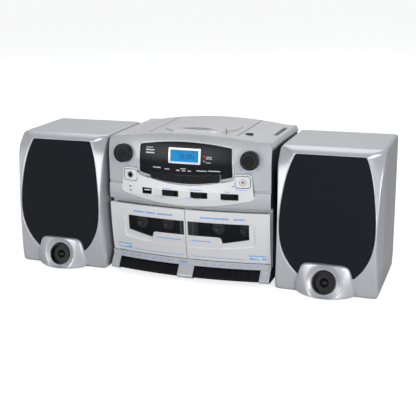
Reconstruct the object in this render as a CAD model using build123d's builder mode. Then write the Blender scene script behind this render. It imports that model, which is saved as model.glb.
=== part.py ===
"""Portable CD and twin-cassette stereo with two detachable loudspeakers.

Millimetres, +X to the listener's right, +Y away from the listener, +Z up.
The origin is on the surface the set stands on, under the middle of its bounding box.
"""

import os
from math import asin, cos, radians, sin

from build123d import *

os.makedirs("parts", exist_ok=True)

# ---------------------------------------------------------------- driving dimensions
front_y = -56.0            # top front corners of the centre unit
half_width = 125.0         # centre unit
unit_back = front_y + 146.0
floor_gap = 4.0            # underside of the centre unit above the surface
corner_height = 206.0      # top of the centre unit at its sides
arch_rise = 8.7            # extra height of the arched top in the middle
arch_half = 105.0          # where the arch runs out into the flat ends
wall = 2.5

bow_radius = 620.0         # the whole front is bowed about one upright axis
bow_y = front_y + 600.0
bow_axis = Axis((0, bow_y, 0), (0, 0, 1))
bow_half_angle = 16.0

door_bottom = 31.3
door_top = 107.2
window_inner = 2.9         # gap between a cassette window and the middle of the front
door_hinge_y = front_y - 2.0
door_hinge_z = 36.0

knob_x = 96.0
knob_z = 183.5
knob_radius = 13.8
knob_height = 11.0
knob_lean = 8.0            # degrees that the fascia leans back where the knobs stand
shaft_radius = 3.0

button_pitch = 17.7
button_count = 6

key_pitch = 16.35
key_inner = 12.3
keys_per_deck = 6
key_pivot_y = front_y + 22.0
key_pivot_z = 16.0

reel_x = (40.0, 83.0)
reel_z = 73.0
tape_plate_y = front_y + 12.0

disc_y = front_y + 78.0
well_radius = 61.0
lid_half = 67.0
lid_front = front_y + 16.0
lid_hinge_y = front_y + 141.0
lid_hinge_z = 200.5

speaker_gap = 8.8
speaker_width = 145.9
speaker_height = 203.6
speaker_x = half_width + speaker_gap + speaker_width / 2
speaker_back = front_y + 126.7
speaker_join = front_y + 24.0   # where the baffle meets the cabinet

joint_clearance = 0.06     # radial play of every shaft in its hole
hairline = 0.02            # gap between sheet pieces that only lie against each other


# ---------------------------------------------------------------- helpers
def export(part, name):
    """Labels a finished piece and writes it under its own name."""
    part.label = name
    export_step(part, f"parts/{name}.step")


def upright(y):
    """The plane facing the listener at depth y, with X to the right and Z up."""
    return Plane.XZ.offset(-y)


def bow_depth(x):
    """How far the bowed front has receded at a distance x from the middle."""
    return bow_radius - (bow_radius**2 - x**2) ** 0.5


def bowed(side, outline):
    """Sweeps a side profile about the bow's axis and keeps what lies inside an upright outline."""
    with BuildPart(mode=Mode.PRIVATE) as piece:
        revolve(
            side.rotate(bow_axis, -bow_half_angle),
            axis=bow_axis,
            revolution_arc=2 * bow_half_angle,
        )
        extrude(outline, amount=400, mode=Mode.INTERSECT)
    return piece.part


def side_profile(points):
    """A side profile from (depth behind front_y, height) corners."""
    with BuildSketch(Plane.YZ, mode=Mode.PRIVATE) as side:
        with BuildLine():
            Polyline([(front_y + y, z) for y, z in points], close=True)
        make_face()
    return side.sketch


def fascia_band(front, back):
    """Side profile between two lines parallel to the fascia, front and back mm proud of it."""
    with BuildSketch(Plane.YZ, mode=Mode.PRIVATE) as side:
        with BuildLine():
            fronts = [(front_y + y - front, z) for y, z in fascia_points]
            backs = [(front_y + y - back, z) for y, z in fascia_points]
            Line(fronts[0], fronts[1])
            ThreePointArc(*fronts[1:])
            Line(fronts[3], backs[3])
            ThreePointArc(*backs[1:])
            Line(backs[0], backs[1])
            Line(backs[0], fronts[0])
        make_face()
    return side.sketch


def rectangle_outline(x0, x1, z0, z1, radius=0.0):
    """An upright rectangle behind the front, ready to be extruded forwards."""
    with BuildSketch(upright(front_y + 120), mode=Mode.PRIVATE) as outline:
        with Locations(((x0 + x1) / 2, (z0 + z1) / 2)):
            if radius:
                RectangleRounded(x1 - x0, z1 - z0, radius)
            else:
                Rectangle(x1 - x0, z1 - z0)
    return outline.sketch


def block(x0, x1, y0, y1, z0, z1):
    """A plain box between two corners, for use inside a part."""
    middle = Pos((x0 + x1) / 2, (y0 + y1) / 2, (z0 + z1) / 2)
    return middle * Box(x1 - x0, y1 - y0, z1 - z0, mode=Mode.PRIVATE)


def rod_y(x, z, radius, y0, y1):
    """A plain cylinder along Y."""
    return Pos(x, (y0 + y1) / 2, z) * Rot(X=90) * Cylinder(radius, y1 - y0, mode=Mode.PRIVATE)


def rod_x(y, z, radius, x0, x1):
    """A plain cylinder along X."""
    return Pos((x0 + x1) / 2, y, z) * Rot(Y=90) * Cylinder(radius, abs(x1 - x0), mode=Mode.PRIVATE)


def rod_z(x, y, radius, z0, z1):
    """A plain cylinder along Z."""
    return Pos(x, y, (z0 + z1) / 2) * Cylinder(radius, z1 - z0, mode=Mode.PRIVATE)


# The upper fascia in side view at the middle of the front: depth behind front_y, height.
fascia_points = [(-20.3, 139.8), (-20.0, 170.0), (-16.6, 196.0), (-8.0, 216.0)]


def knob_plane(sign):
    """Where a knob stands on the fascia, with its normal along the knob's shaft."""
    turn = asin(knob_x / bow_radius)
    lean = radians(knob_lean)
    out = (sign * sin(turn) * cos(lean), -cos(turn) * cos(lean), sin(lean))
    foot = (sign * knob_x, front_y - 18.7 + bow_depth(knob_x), knob_z)
    return Plane(origin=foot, x_dir=(1, 0, 0), z_dir=out)


def top_outline(inset, base):
    """Front view of the arched top with its chamfered corners, inset by a wall and cut off at base."""
    side = half_width - inset
    corner = corner_height - inset
    rise = corner + arch_rise
    with BuildSketch(upright(front_y + 240), mode=Mode.PRIVATE) as outline:
        with BuildLine():
            Line((-side, base), (-side, corner - 6.0))
            Line((-side, corner - 6.0), (-side + 3.0, corner - 0.4))
            Line((-side + 3.0, corner - 0.4), (-arch_half, corner))
            ThreePointArc((-arch_half, corner), (0, rise), (arch_half, corner))
            Line((arch_half, corner), (side - 3.0, corner - 0.4))
            Line((side - 3.0, corner - 0.4), (side, corner - 6.0))
            Line((side, corner - 6.0), (side, base))
            Line((side, base), (-side, base))
        make_face()
    return outline.sketch


def display_outline(grow):
    """The display's outline: arched top, sagging bottom and rounded corners."""
    with BuildSketch(upright(front_y + 120), mode=Mode.PRIVATE) as outline:
        with BuildLine():
            ThreePointArc((-70.0, 199.0), (0, 205.3), (70.0, 199.0))
            Line((70.0, 199.0), (71.5, 158.3))
            ThreePointArc((71.5, 158.3), (0, 149.0), (-71.5, 158.3))
            Line((-71.5, 158.3), (-70.0, 199.0))
        make_face()
        fillet(outline.vertices(), 3.0)
        if grow:
            offset(amount=grow, kind=Kind.ARC)
    return outline.sketch


def arc_band(half, top_ends, top_middle, bottom_ends, bottom_middle):
    """An upright band between two arcs that sag in the middle."""
    with BuildSketch(upright(front_y + 120), mode=Mode.PRIVATE) as outline:
        with BuildLine():
            ThreePointArc((-half, top_ends), (0, top_middle), (half, top_ends))
            Line((half, top_ends), (half, bottom_ends))
            ThreePointArc((half, bottom_ends), (0, bottom_middle), (-half, bottom_ends))
            Line((-half, bottom_ends), (-half, top_ends))
        make_face()
    return outline.sketch


# ---------------------------------------------------------------- control panel
# A raised U-shaped panel that carries the sockets and the slide switches.
panel_side = [(-21.9, 164.0), (-23.4, 140.0), (-24.4, 125.0), (-23.6, 110.0), (-19.8, 110.0), (-19.8, 164.0)]
slot_centres = (-22.2, 22.0, 67.2)
slot_z = 130.3
slot_size = (26.0, 9.2)
usb_centre = (-59.0, 131.0)
usb_size = (13.2, 7.2)
jack_centre = (-87.0, 152.3)
microphone_centre = (86.3, 152.0)
jack_collar_radius = 3.2

with BuildSketch(upright(front_y + 120)) as panel_outline:
    with BuildLine():
        Line((-75.5, 163.2), (-98.4, 163.2))
        Line((-98.4, 163.2), (-102.5, 127.0))
        ThreePointArc((-102.5, 127.0), (0, 113.5), (102.5, 127.0))
        Line((102.5, 127.0), (98.4, 163.2))
        Line((98.4, 163.2), (75.5, 163.2))
        Line((75.5, 163.2), (75.5, 157.0))
        ThreePointArc((75.5, 157.0), (0, 143.6), (-75.5, 157.0))
        Line((-75.5, 157.0), (-75.5, 163.2))
    make_face()
    fillet(panel_outline.vertices().sort_by(Axis.X)[:2], 5.0)
    fillet(panel_outline.vertices().sort_by(Axis.X)[-2:], 5.0)

panel_blank = bowed(side_profile(panel_side), panel_outline.sketch)


def plate_ring(x):
    """The rounded outline groove of a socket plate."""
    with BuildSketch(upright(front_y + 120), mode=Mode.PRIVATE) as ring:
        with Locations((x, 152.4)):
            RectangleRounded(22.4, 17.6, 4.0)
            RectangleRounded(20.8, 16.0, 3.3, mode=Mode.SUBTRACT)
    return ring.sketch


with BuildPart() as control_panel:
    add(panel_blank)
    # Shallow channel along the row of slide switches.
    channel_side = [(-30.0, 135.4), (-23.4, 135.4), (-23.4, 125.2), (-30.0, 125.2)]
    add(bowed(side_profile(channel_side), rectangle_outline(-50, 85.5, 120, 140)), mode=Mode.SUBTRACT)
    # Outline grooves round the two socket plates.
    for x in (-86.2, 86.2):
        groove_side = [(-30, 165), (-22.0, 165), (-22.6, 140), (-30, 140)]
        add(bowed(side_profile(groove_side), plate_ring(x)), mode=Mode.SUBTRACT)
    for x in slot_centres:
        add(
            block(x - slot_size[0] / 2, x + slot_size[0] / 2, front_y - 40, front_y,
                  slot_z - slot_size[1] / 2, slot_z + slot_size[1] / 2),
            mode=Mode.SUBTRACT,
        )
    add(
        block(usb_centre[0] - 7.6, usb_centre[0] + 7.6, front_y - 40, front_y,
              usb_centre[1] - 4.6, usb_centre[1] + 4.6),
        mode=Mode.SUBTRACT,
    )
    add(rod_y(*jack_centre, jack_collar_radius, front_y - 40, front_y), mode=Mode.SUBTRACT)
    add(rod_y(*microphone_centre, 1.0, front_y - 40, front_y), mode=Mode.SUBTRACT)
export(control_panel.part, "control_panel")

# ---------------------------------------------------------------- front cabinet
def at(y, z):
    """A point of a side profile, y mm behind front_y."""
    return (front_y + y, z)


# Outer side profile, from the fascia down over the band, the door recess, the lip and the nose.
with BuildSketch(Plane.YZ) as cabinet_side:
    with BuildLine():
        Line(at(*fascia_points[0]), at(*fascia_points[1]))
        ThreePointArc(*[at(*point) for point in fascia_points[1:]])
        Polyline(at(-8.0, 216.0), at(60, 216), at(60, floor_gap), at(-25.0, floor_gap))
        ThreePointArc(at(-25.0, floor_gap), at(-29.6, 5.4), at(-30.3, 9.5))
        Polyline(at(-30.3, 9.5), at(-21.6, 21.8), at(-20.0, 23.2), at(-20.0, 30.4), at(-19.4, 30.9),
                 at(-18.4, 30.4), at(-18.4, 23.5), at(-10.5, 23.5), at(-10.5, 112.5), at(-20.6, 112.5),
                 at(-21.6, 113.4))
        ThreePointArc(at(-21.6, 113.4), at(-23.0, 124.0), at(-21.4, 136.3))
        Polyline(at(-21.4, 136.3), at(-20.8, 137.0), at(-19.0, 137.3), at(-19.0, 138.5), at(-20.3, 139.8))
    make_face()

# Inner side profile, one wall behind the outer one.
with BuildSketch(Plane.YZ) as cabinet_inside:
    with BuildLine():
        inner_fascia = [at(y + wall, z) for y, z in fascia_points]
        ThreePointArc(*inner_fascia[1:])
        Polyline(inner_fascia[3], at(-5.5, 230), at(80, 230), at(80, 6.5), at(-8, 6.5), at(-8, 114.9),
                 at(-17.3, 114.9), inner_fascia[1])
    make_face()

door_bays = ((6.5, 118.5), (-118.5, -6.5))
hinge_pin_radius = 1.1
hinge_lug_radius = 2.2

with BuildPart() as front_cabinet:
    add(bowed(cabinet_side.sketch, top_outline(0, floor_gap)))
    add(block(-200, 200, front_y + 30, front_y + 200, -10, 300), mode=Mode.SUBTRACT)
    add(bowed(cabinet_inside.sketch, rectangle_outline(-half_width + wall, half_width - wall, 6.5, 230)),
        mode=Mode.SUBTRACT)
    # Seat of the top cover behind the fascia.
    seat_side = [(-13.9, 197.0), (-5.4, 216.5), (60, 216.5), (60, 197.0)]
    add(bowed(side_profile(seat_side), rectangle_outline(-130, 130, 197, 230)), mode=Mode.SUBTRACT)
    # Raised lip round the display, and the display's recess.
    add(bowed(fascia_band(0.9, -1.0), display_outline(2.6)))
    add(bowed(fascia_band(5.0, -1.8), display_outline(0)), mode=Mode.SUBTRACT)
    # Crescent behind the row of buttons.
    add(bowed(fascia_band(8.0, -2.0), arc_band(74.5, 160.0, 153.0, 154.6, 143.6)), mode=Mode.SUBTRACT)
    add(panel_blank, mode=Mode.SUBTRACT)
    # Window behind the screen.
    add(block(-23, 23, front_y - 60, front_y - 10, 176, 195), mode=Mode.SUBTRACT)
    # Holes for the buttons' stems.
    for i in range(button_count):
        x = (i - (button_count - 1) / 2) * button_pitch
        add(block(x - 6.4, x + 6.4, front_y - 60, front_y - 5, 149.0, 156.0), mode=Mode.SUBTRACT)
    # Knob shafts.
    for sign in (-1, 1):
        with BuildSketch(knob_plane(sign).offset(-12.0)):
            Circle(shaft_radius + joint_clearance)
        extrude(amount=24.0, mode=Mode.SUBTRACT)
    # Sockets, microphone and slide switches.
    for x in slot_centres:
        add(block(x - slot_size[0] / 2, x + slot_size[0] / 2, front_y - 60, front_y,
                  slot_z - slot_size[1] / 2, slot_z + slot_size[1] / 2), mode=Mode.SUBTRACT)
    add(block(usb_centre[0] - 11.0, usb_centre[0] + 11.0, front_y - 60, front_y,
              usb_centre[1] - 7.0, usb_centre[1] + 7.0), mode=Mode.SUBTRACT)
    add(rod_y(*jack_centre, jack_collar_radius, front_y - 60, front_y), mode=Mode.SUBTRACT)
    add(rod_y(*microphone_centre, 4.0, front_y - 60, front_y), mode=Mode.SUBTRACT)
    # Cassette bays, one each side of the middle web.
    for x0, x1 in door_bays:
        add(bowed(side_profile([(-13.5, 24.0), (45, 24.0), (45, 105.5), (-13.5, 105.5)]),
                  rectangle_outline(x0, x1, 24.0, 105.5)), mode=Mode.SUBTRACT)
    # Lugs for the doors' hinge pins: one in the middle for both doors, one near each outer end.
    add(block(-6.3, 6.3, front_y - 9.0, door_hinge_y + 3.0, 22.5, door_hinge_z + 3.0))
    for sign in (-1, 1):
        low, high = sorted((sign * 100.0, sign * 104.0))
        add(rod_x(door_hinge_y, door_hinge_z, hinge_lug_radius, low, high))
        add(block(low, high, door_hinge_y, door_hinge_y + 5.0,
                  door_hinge_z - hinge_lug_radius, door_hinge_z + hinge_lug_radius))
        add(block(low, high, door_hinge_y + 2.0, door_hinge_y + 5.0, 22.5, door_hinge_z))
        add(block(low - 1.0, high + 1.0, front_y - 6.0, door_hinge_y + 6.0, 22.0, 23.5))
        add(rod_x(door_hinge_y, door_hinge_z, hinge_pin_radius + joint_clearance, sign * 2.5, sign * 7.0),
            mode=Mode.SUBTRACT)
        add(rod_x(door_hinge_y, door_hinge_z, hinge_pin_radius + joint_clearance, sign * 99.0, sign * 105.0),
            mode=Mode.SUBTRACT)
    # Bays for the two rows of keys.
    for sign in (-1, 1):
        low, high = sorted((sign * 12.0, sign * 110.8))
        add(block(low, high, front_y - 60, front_y + 6, -5, 22.0), mode=Mode.SUBTRACT)
        # Scooped cheek at the outer end of the keys.
        add(Pos(sign * 121.5, front_y - 26.0, 25.0) * Sphere(15.5, mode=Mode.PRIVATE), mode=Mode.SUBTRACT)
export(front_cabinet.part, "front_cabinet")

# ---------------------------------------------------------------- display
with BuildPart() as display_panel:
    add(bowed(fascia_band(-0.4, -1.8), display_outline(-0.05)))
    add(bowed(fascia_band(5.0, -5.0), rectangle_outline(-24.4, 24.4, 174.5, 196.7)), mode=Mode.SUBTRACT)
    add(bowed(fascia_band(8.0, -5.0), arc_band(54.4, 161.9, 157.6, 142.0, 140.0)), mode=Mode.SUBTRACT)
    for z in (186.3, 179.6):
        add(rod_y(30.0, z, 1.3, front_y - 40, front_y), mode=Mode.SUBTRACT)
export(display_panel.part, "display_panel")

with BuildPart() as lcd_bezel:
    add(bowed(fascia_band(0.5, -1.8), rectangle_outline(-24.4, 24.4, 174.5, 196.7, 1.0)))
    add(bowed(fascia_band(5.0, -5.0), rectangle_outline(-21.6, 21.6, 177.3, 194.1, 0.5)), mode=Mode.SUBTRACT)
export(lcd_bezel.part, "lcd_bezel")

# The screen's glass with its backlight box, and the two indicator lenses beside it.
with BuildPart() as lcd_screen:
    add(bowed(fascia_band(-0.5, -4.2), rectangle_outline(-21.6, 21.6, 177.3, 194.1, 0.5)))
    add(block(-22.0, 22.0, front_y - 13.0, front_y - 8.0, 177.0, 194.4))
    for z in (186.3, 179.6):
        add(bowed(fascia_band(0.1, -1.8), rectangle_outline(28.9, 31.1, z - 1.1, z + 1.1, 1.05)))
export(lcd_screen.part, "lcd_screen")

# ---------------------------------------------------------------- sockets, microphone and switch liners
with BuildPart() as front_sockets:
    # Headphone socket: a collar with a blind bore.
    x, z = jack_centre
    jack_face = front_y - 22.6 + bow_depth(x)
    add(rod_y(x, z, jack_collar_radius, jack_face - 0.6, jack_face + 14))
    add(rod_y(x, z, 1.75, jack_face - 1.0, jack_face + 12.5), mode=Mode.SUBTRACT)
    # Microphone capsule behind its hole.
    x, z = microphone_centre
    microphone_face = front_y - 19.0 + bow_depth(x)
    add(rod_y(x, z, 4.0, microphone_face + 0.1, microphone_face + 6.0))
    # USB socket: four folded walls, an end plate and a tongue, a hairline apart.
    x, z = usb_centre
    usb_face = front_y - 24.0 + bow_depth(x)
    half_x = usb_size[0] / 2
    half_z = usb_size[1] / 2
    for side in (-1, 1):
        z0, z1 = sorted((z + side * half_z, z + side * (half_z + 1.0)))
        add(block(x - half_x - 1.0, x + half_x + 1.0, usb_face + 0.4, usb_face + 14, z0, z1))
        x0, x1 = sorted((x + side * half_x, x + side * (half_x + 1.0)))
        add(block(x0, x1, usb_face + 0.4, usb_face + 14, z - half_z + hairline, z + half_z - hairline))
    add(block(x - half_x - 1.0, x + half_x + 1.0, usb_face + 14 + hairline, usb_face + 16,
              z - half_z - 1.0, z + half_z + 1.0))
    add(block(x - 5.2, x + 5.2, usb_face + 3.0, usb_face + 14, z + 1.0, z + 2.6))
    # Liners behind the slide switches, each with a slot for the slider's stem.
    for x in slot_centres:
        liner_side = [(-22.0, 140), (-20.2, 140), (-20.2, 120), (-22.0, 120)]
        liner = rectangle_outline(x - slot_size[0] / 2, x + slot_size[0] / 2,
                                  slot_z - slot_size[1] / 2, slot_z + slot_size[1] / 2)
        add(bowed(side_profile(liner_side), liner))
        add(block(x - 9.0, x + 9.0, front_y - 40, front_y, slot_z - 1.6, slot_z + 1.6), mode=Mode.SUBTRACT)

# ---------------------------------------------------------------- slide switches
switch_names = ("function_switch", "band_switch", "mode_switch")
for name, x in zip(switch_names, slot_centres):
    with BuildPart() as slide_switch:
        grip_side = [(-26.0, 134.1), (-26.0, 126.5), (-22.4, 126.5), (-22.4, 134.1)]
        add(bowed(side_profile(grip_side), rectangle_outline(x - 7.5, x + 7.5, slot_z - 3.8, slot_z + 3.8)))
        # Finger ribs.
        for i in range(6):
            rib = x - 6.25 + i * 2.5
            rib_side = [(-27.0, 136), (-27.0, 125), (-25.2, 125), (-25.2, 136)]
            add(bowed(side_profile(rib_side), rectangle_outline(rib - 0.55, rib + 0.55, 125, 136)),
                mode=Mode.SUBTRACT)
        stem_y = front_y + bow_depth(x)
        add(block(x - 2.5, x + 2.5, stem_y - 22.6, stem_y - 16.5, slot_z - 1.3, slot_z + 1.3))
    export(slide_switch.part, name)

# ---------------------------------------------------------------- CD buttons
button_names = ("cd_program_button", "cd_mode_button", "cd_skip_back_button",
                "cd_play_button", "cd_skip_forward_button", "cd_stop_button")
button_row = bowed(fascia_band(2.4, -0.8), arc_band(53.1, 161.5, 157.2, 151.5, 145.9))
for i, name in enumerate(button_names):
    x = (i - (button_count - 1) / 2) * button_pitch
    with BuildPart() as cd_button:
        add(button_row)
        add(block(x - button_pitch / 2 + 0.25, x + button_pitch / 2 - 0.25, front_y - 60, front_y + 60, 100, 200),
            mode=Mode.INTERSECT)
        face_y = front_y - 20.2 + bow_depth(x)
        add(block(x - 5.8, x + 5.8, face_y - 0.5, face_y + 8.0, 149.6, 155.4))
    export(cd_button.part, name)

# ---------------------------------------------------------------- knobs
def knob(sign, name):
    """A fluted knob on its shaft, square to the fascia."""
    foot = knob_plane(sign).offset(0.9)
    with BuildPart() as knob_part:
        with BuildSketch(foot):
            Circle(knob_radius)
        extrude(amount=knob_height, taper=3)
        fillet(knob_part.faces().sort_by(Axis.Y)[0].edges(), 1.4)
        with BuildSketch(foot.offset(knob_height - 1.2)):
            Circle(knob_radius - 3.2)
        extrude(amount=3.0, mode=Mode.SUBTRACT)
        with BuildSketch(foot):
            with PolarLocations(knob_radius + 0.15, 40):
                Circle(0.6)
        extrude(amount=knob_height - 2.0, mode=Mode.SUBTRACT)
        with BuildSketch(foot.offset(-14.0)):
            Circle(shaft_radius)
        extrude(amount=16.0)
    export(knob_part.part, name)


knob(-1, "volume_knob")
knob(1, "tuning_knob")

# ---------------------------------------------------------------- cassette doors
def door_band(front, back):
    """Side profile of a door: a gently bulging sheet, front mm proud and back mm behind its face."""
    face = [(-18.2, door_bottom), (-22.8, 72.0), (-23.4, door_top)]
    with BuildSketch(Plane.YZ, mode=Mode.PRIVATE) as side:
        with BuildLine():
            fronts = [(front_y + y - front, z) for y, z in face]
            backs = [(front_y + y - back, z) for y, z in face]
            ThreePointArc(*fronts)
            ThreePointArc(*backs)
            Line(fronts[0], backs[0])
            Line(fronts[2], backs[2])
        make_face()
    return side.sketch


def window_outline(grow):
    """The right-hand window: straight top, sloping outer bottom and a step over the finger ledge."""
    with BuildSketch(upright(front_y + 120), mode=Mode.PRIVATE) as outline:
        with BuildLine():
            Polyline((window_inner, 89.6), (94.4, 89.6), (94.4, 66.8), (55.0, 59.0), (52.6, 66.5), (49.5, 68.0),
                     (window_inner, 68.0), close=True)
        make_face()
        if grow:
            offset(amount=grow, kind=Kind.INTERSECTION)
    return outline.sketch


def dish_outline():
    """The dish round the right-hand window, less the finger ledge at its lower inner corner."""
    with BuildSketch(upright(front_y + 120), mode=Mode.PRIVATE) as dish:
        with BuildLine():
            Line((0.0, 91.2), (103.0, 91.2))
            Line((103.0, 91.2), (103.0, 56.6))
            ThreePointArc((103.0, 56.6), (52.0, 50.6), (0.0, 49.0))
            Line((0.0, 49.0), (0.0, 91.2))
        make_face()
        fillet(dish.vertices().sort_by(Axis.X)[-2:], 5.0)
        with BuildLine():
            Line((0.0, 66.6), (46.0, 66.6))
            ThreePointArc((46.0, 66.6), (51.6, 63.6), (54.0, 57.0))
            Line((54.0, 57.0), (54.6, 40.0))
            Line((54.6, 40.0), (0.0, 40.0))
            Line((0.0, 40.0), (0.0, 66.6))
        make_face(mode=Mode.SUBTRACT)
    return dish.sketch


def ledge_groove():
    """The groove that carries the dish's lower edge on under the finger ledge."""
    with BuildSketch(upright(front_y + 120), mode=Mode.PRIVATE) as groove:
        with BuildLine():
            ThreePointArc((0.0, 50.8), (28.0, 51.2), (55.3, 52.7))
            Line((55.3, 52.7), (55.3, 51.7))
            ThreePointArc((55.3, 51.7), (28.0, 50.2), (0.0, 49.8))
            Line((0.0, 49.8), (0.0, 50.8))
        make_face()
    return groove.sketch


def cassette_door():
    """The right-hand door with its dished window surround, finger ledge, ears, pins and cassette guides."""
    with BuildPart() as door:
        add(bowed(door_band(0, -4.5), rectangle_outline(0.5, 124.4, door_bottom, door_top)))
        # Dish round the window, with the finger ledge left standing in it.
        add(bowed(door_band(3.0, -2.2), dish_outline()), mode=Mode.SUBTRACT)
        add(bowed(door_band(3.0, -0.8), ledge_groove()), mode=Mode.SUBTRACT)
        add(bowed(door_band(5.0, -6.0), window_outline(0)), mode=Mode.SUBTRACT)
        # Cassette guides and the shelf that a cassette stands on.
        for x0, x1, low in ((8.3, 10.3, 33.0), (112.7, 114.7, 38.4)):
            guide_front = front_y - 17.0 + bow_depth(x1)
            add(block(x0, x1, guide_front, front_y + 1.0, low, 98.0))
        add(block(10.3, 112.8, front_y - 12.0, front_y + 1.4, 38.5, 39.9))
        # Ear at the outer end, and the two hinge pins.
        add(block(95.5, 97.5, front_y - 8.0, door_hinge_y + 2.0, door_hinge_z - 2.0, 38.8))
        add(rod_x(door_hinge_y, door_hinge_z, hinge_pin_radius, 3.0, 8.4))
        add(rod_x(door_hinge_y, door_hinge_z, hinge_pin_radius, 97.4, 103.8))
    return door.part


def cassette_window():
    """The right-hand window pane, let into the door."""
    return bowed(door_band(-2.6, -4.6), window_outline(0))


right_door = cassette_door()
right_window = cassette_window()
export(right_door, "cassette_door_right")
export(right_window, "cassette_window_right")
export(mirror(right_door, about=Plane.YZ), "cassette_door_left")
export(mirror(right_window, about=Plane.YZ), "cassette_window_left")

# ---------------------------------------------------------------- tape mechanism
with BuildPart() as tape_mechanism:
    for sign in (-1, 1):
        low, high = sorted((sign * 8.0, sign * 117.5))
        add(block(low, high, tape_plate_y, tape_plate_y + 1.5, 30.0, 105.0))
        # Head with its shield, and the pinch roller beside it.
        add(block(sign * 61.5 - 6.5, sign * 61.5 + 6.5, tape_plate_y - 10.0, tape_plate_y, 38.5, 45.0))
        add(rod_y(sign * 61.5 + 17.0, 42.0, 5.5, tape_plate_y - 9.0, tape_plate_y))
        # Flywheel and motor behind the plate.
        add(rod_y(sign * 61.5 + 17.0, 48.0, 15.0, tape_plate_y + 3.0, tape_plate_y + 7.0))
        add(rod_y(sign * 61.5 + 17.0, 48.0, 2.5, tape_plate_y, tape_plate_y + 4.0))
        add(rod_y(sign * 61.5 - 30.0, 92.0, 13.0, tape_plate_y + 1.0, tape_plate_y + 26.0))
        for x in reel_x:
            add(rod_y(sign * x, reel_z, 2.0 + joint_clearance, tape_plate_y - 5, tape_plate_y + 30),
                mode=Mode.SUBTRACT)
        # Bracket and rod that the keys turn on.
        low, high = sorted((sign * 8.0, sign * 10.5))
        add(block(low, high, tape_plate_y + 1.0, key_pivot_y + 4.0, 10.0, 32.0))
        low, high = sorted((sign * 112.0, sign * 114.5))
        add(block(low, high, tape_plate_y + 1.0, key_pivot_y + 4.0, 10.0, 32.0))
        low, high = sorted((sign * 8.5, sign * 114.0))
        add(rod_x(key_pivot_y, key_pivot_z, 1.5, low, high))
export(tape_mechanism.part, "tape_mechanism")

reel_names = {"supply_reel_left": -reel_x[1], "takeup_reel_left": -reel_x[0],
              "supply_reel_right": reel_x[0], "takeup_reel_right": reel_x[1]}
for name, x in reel_names.items():
    with BuildPart() as reel:
        add(rod_y(x, reel_z, 9.5, tape_plate_y - 3.2, tape_plate_y - 1.2))
        add(rod_y(x, reel_z, 3.0, tape_plate_y - 12.0, tape_plate_y - 2.0))
        add(rod_y(x, reel_z, 2.0, tape_plate_y - 2.0, tape_plate_y + 5.0))
        # Three drive fins that catch the cassette's hub.
        for turn in (90, 210, 330):
            hub = Pos(x, tape_plate_y - 7.5, reel_z) * Rot(Y=turn)
            add(hub * Pos(3.4, 0, 0) * Box(2.6, 7.0, 1.4, mode=Mode.PRIVATE))
        fillet(reel.faces().sort_by(Axis.Y)[0].edges(), 0.8)
    export(reel.part, name)

# ---------------------------------------------------------------- cassette keys
key_functions = ("pause", "stop", "fast_forward", "rewind", "play", "record")
key_side = [(-16.6, 21.4), (-29.6, 9.6), (-29.8, 7.2), (-28.6, 6.0), (20.0, 6.0), (20.0, 21.4)]
for deck, sign in (("left", -1), ("right", 1)):
    low, high = sorted((sign * 12.0, sign * 110.8))
    key_row = bowed(side_profile(key_side), rectangle_outline(low, high, 0, 30))
    for i, function in enumerate(key_functions):
        x = sign * (key_inner + key_pitch * (i + 0.5))
        with BuildPart() as key:
            add(key_row)
            add(block(x - key_pitch / 2 + 0.3, x + key_pitch / 2 - 0.3, front_y - 60, front_y - 6.0, 0, 30),
                mode=Mode.INTERSECT)
            add(block(x - 4.0, x + 4.0, front_y - 8.0, key_pivot_y + 4.0, 12.0, 20.0))
            add(rod_x(key_pivot_y, key_pivot_z, 1.5 + joint_clearance, x - 8, x + 8), mode=Mode.SUBTRACT)
        export(key.part, f"{deck}_{function}_key")

# ---------------------------------------------------------------- top cover
slot_x = 112.0
with BuildPart() as top_cover:
    extrude(top_outline(0, 197.0), amount=400)
    extrude(top_outline(wall, 190.0), amount=400, mode=Mode.SUBTRACT)
    add(block(-140, 140, front_y - 60, unit_back, 190, 230), mode=Mode.INTERSECT)
    cover_side = [(-13.0, 196.0), (-4.2, 217.0), (240, 217.0), (240, 196.0)]
    add(bowed(side_profile(cover_side), rectangle_outline(-130, 130, 190, 230).moved(Location((0, 140, 0)))),
        mode=Mode.INTERSECT)
    # Opening for the disc lid, which runs out over the back edge.
    add(block(-lid_half - 0.35, lid_half + 0.35, lid_front - 0.35, unit_back + 10, 190, 230), mode=Mode.SUBTRACT)
    # Trough at the right-hand end.
    add(block(slot_x - 5.0, slot_x + 5.0, front_y + 58, front_y + 126, 195.5, 204.5))
    add(block(slot_x - 3.4, slot_x + 3.4, front_y + 60, front_y + 124, 197.0, 230), mode=Mode.SUBTRACT)
    # Hole for the button beside the lid.
    add(rod_z(79.0, front_y + 39.0, 6.3, 190, 230), mode=Mode.SUBTRACT)
export(top_cover.part, "top_cover")

with BuildPart() as lid_button:
    add(rod_z(79.0, front_y + 39.0, 6.0, 203.5, 211.2))
    fillet(lid_button.faces().sort_by(Axis.Z)[-1].edges(), 0.8)
    add(rod_z(79.0, front_y + 39.0, 2.0, 197.0, 204.0))
export(lid_button.part, "power_button")

# ---------------------------------------------------------------- CD lid
dome_radius = 58.0
dome_centre = (0.0, front_y + 66.0)
with BuildPart() as lid_dome:
    with BuildSketch(Plane.XY.offset(206.0)):
        with Locations(dome_centre):
            Circle(dome_radius)
    extrude(amount=30.0)
    extrude(top_outline(-1.6, 190.0), amount=400, mode=Mode.INTERSECT)
    extrude(top_outline(1.2, 190.0), amount=400, mode=Mode.SUBTRACT)
    add(block(-lid_half, lid_half, lid_front, unit_back, 190, 230), mode=Mode.INTERSECT)

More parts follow.
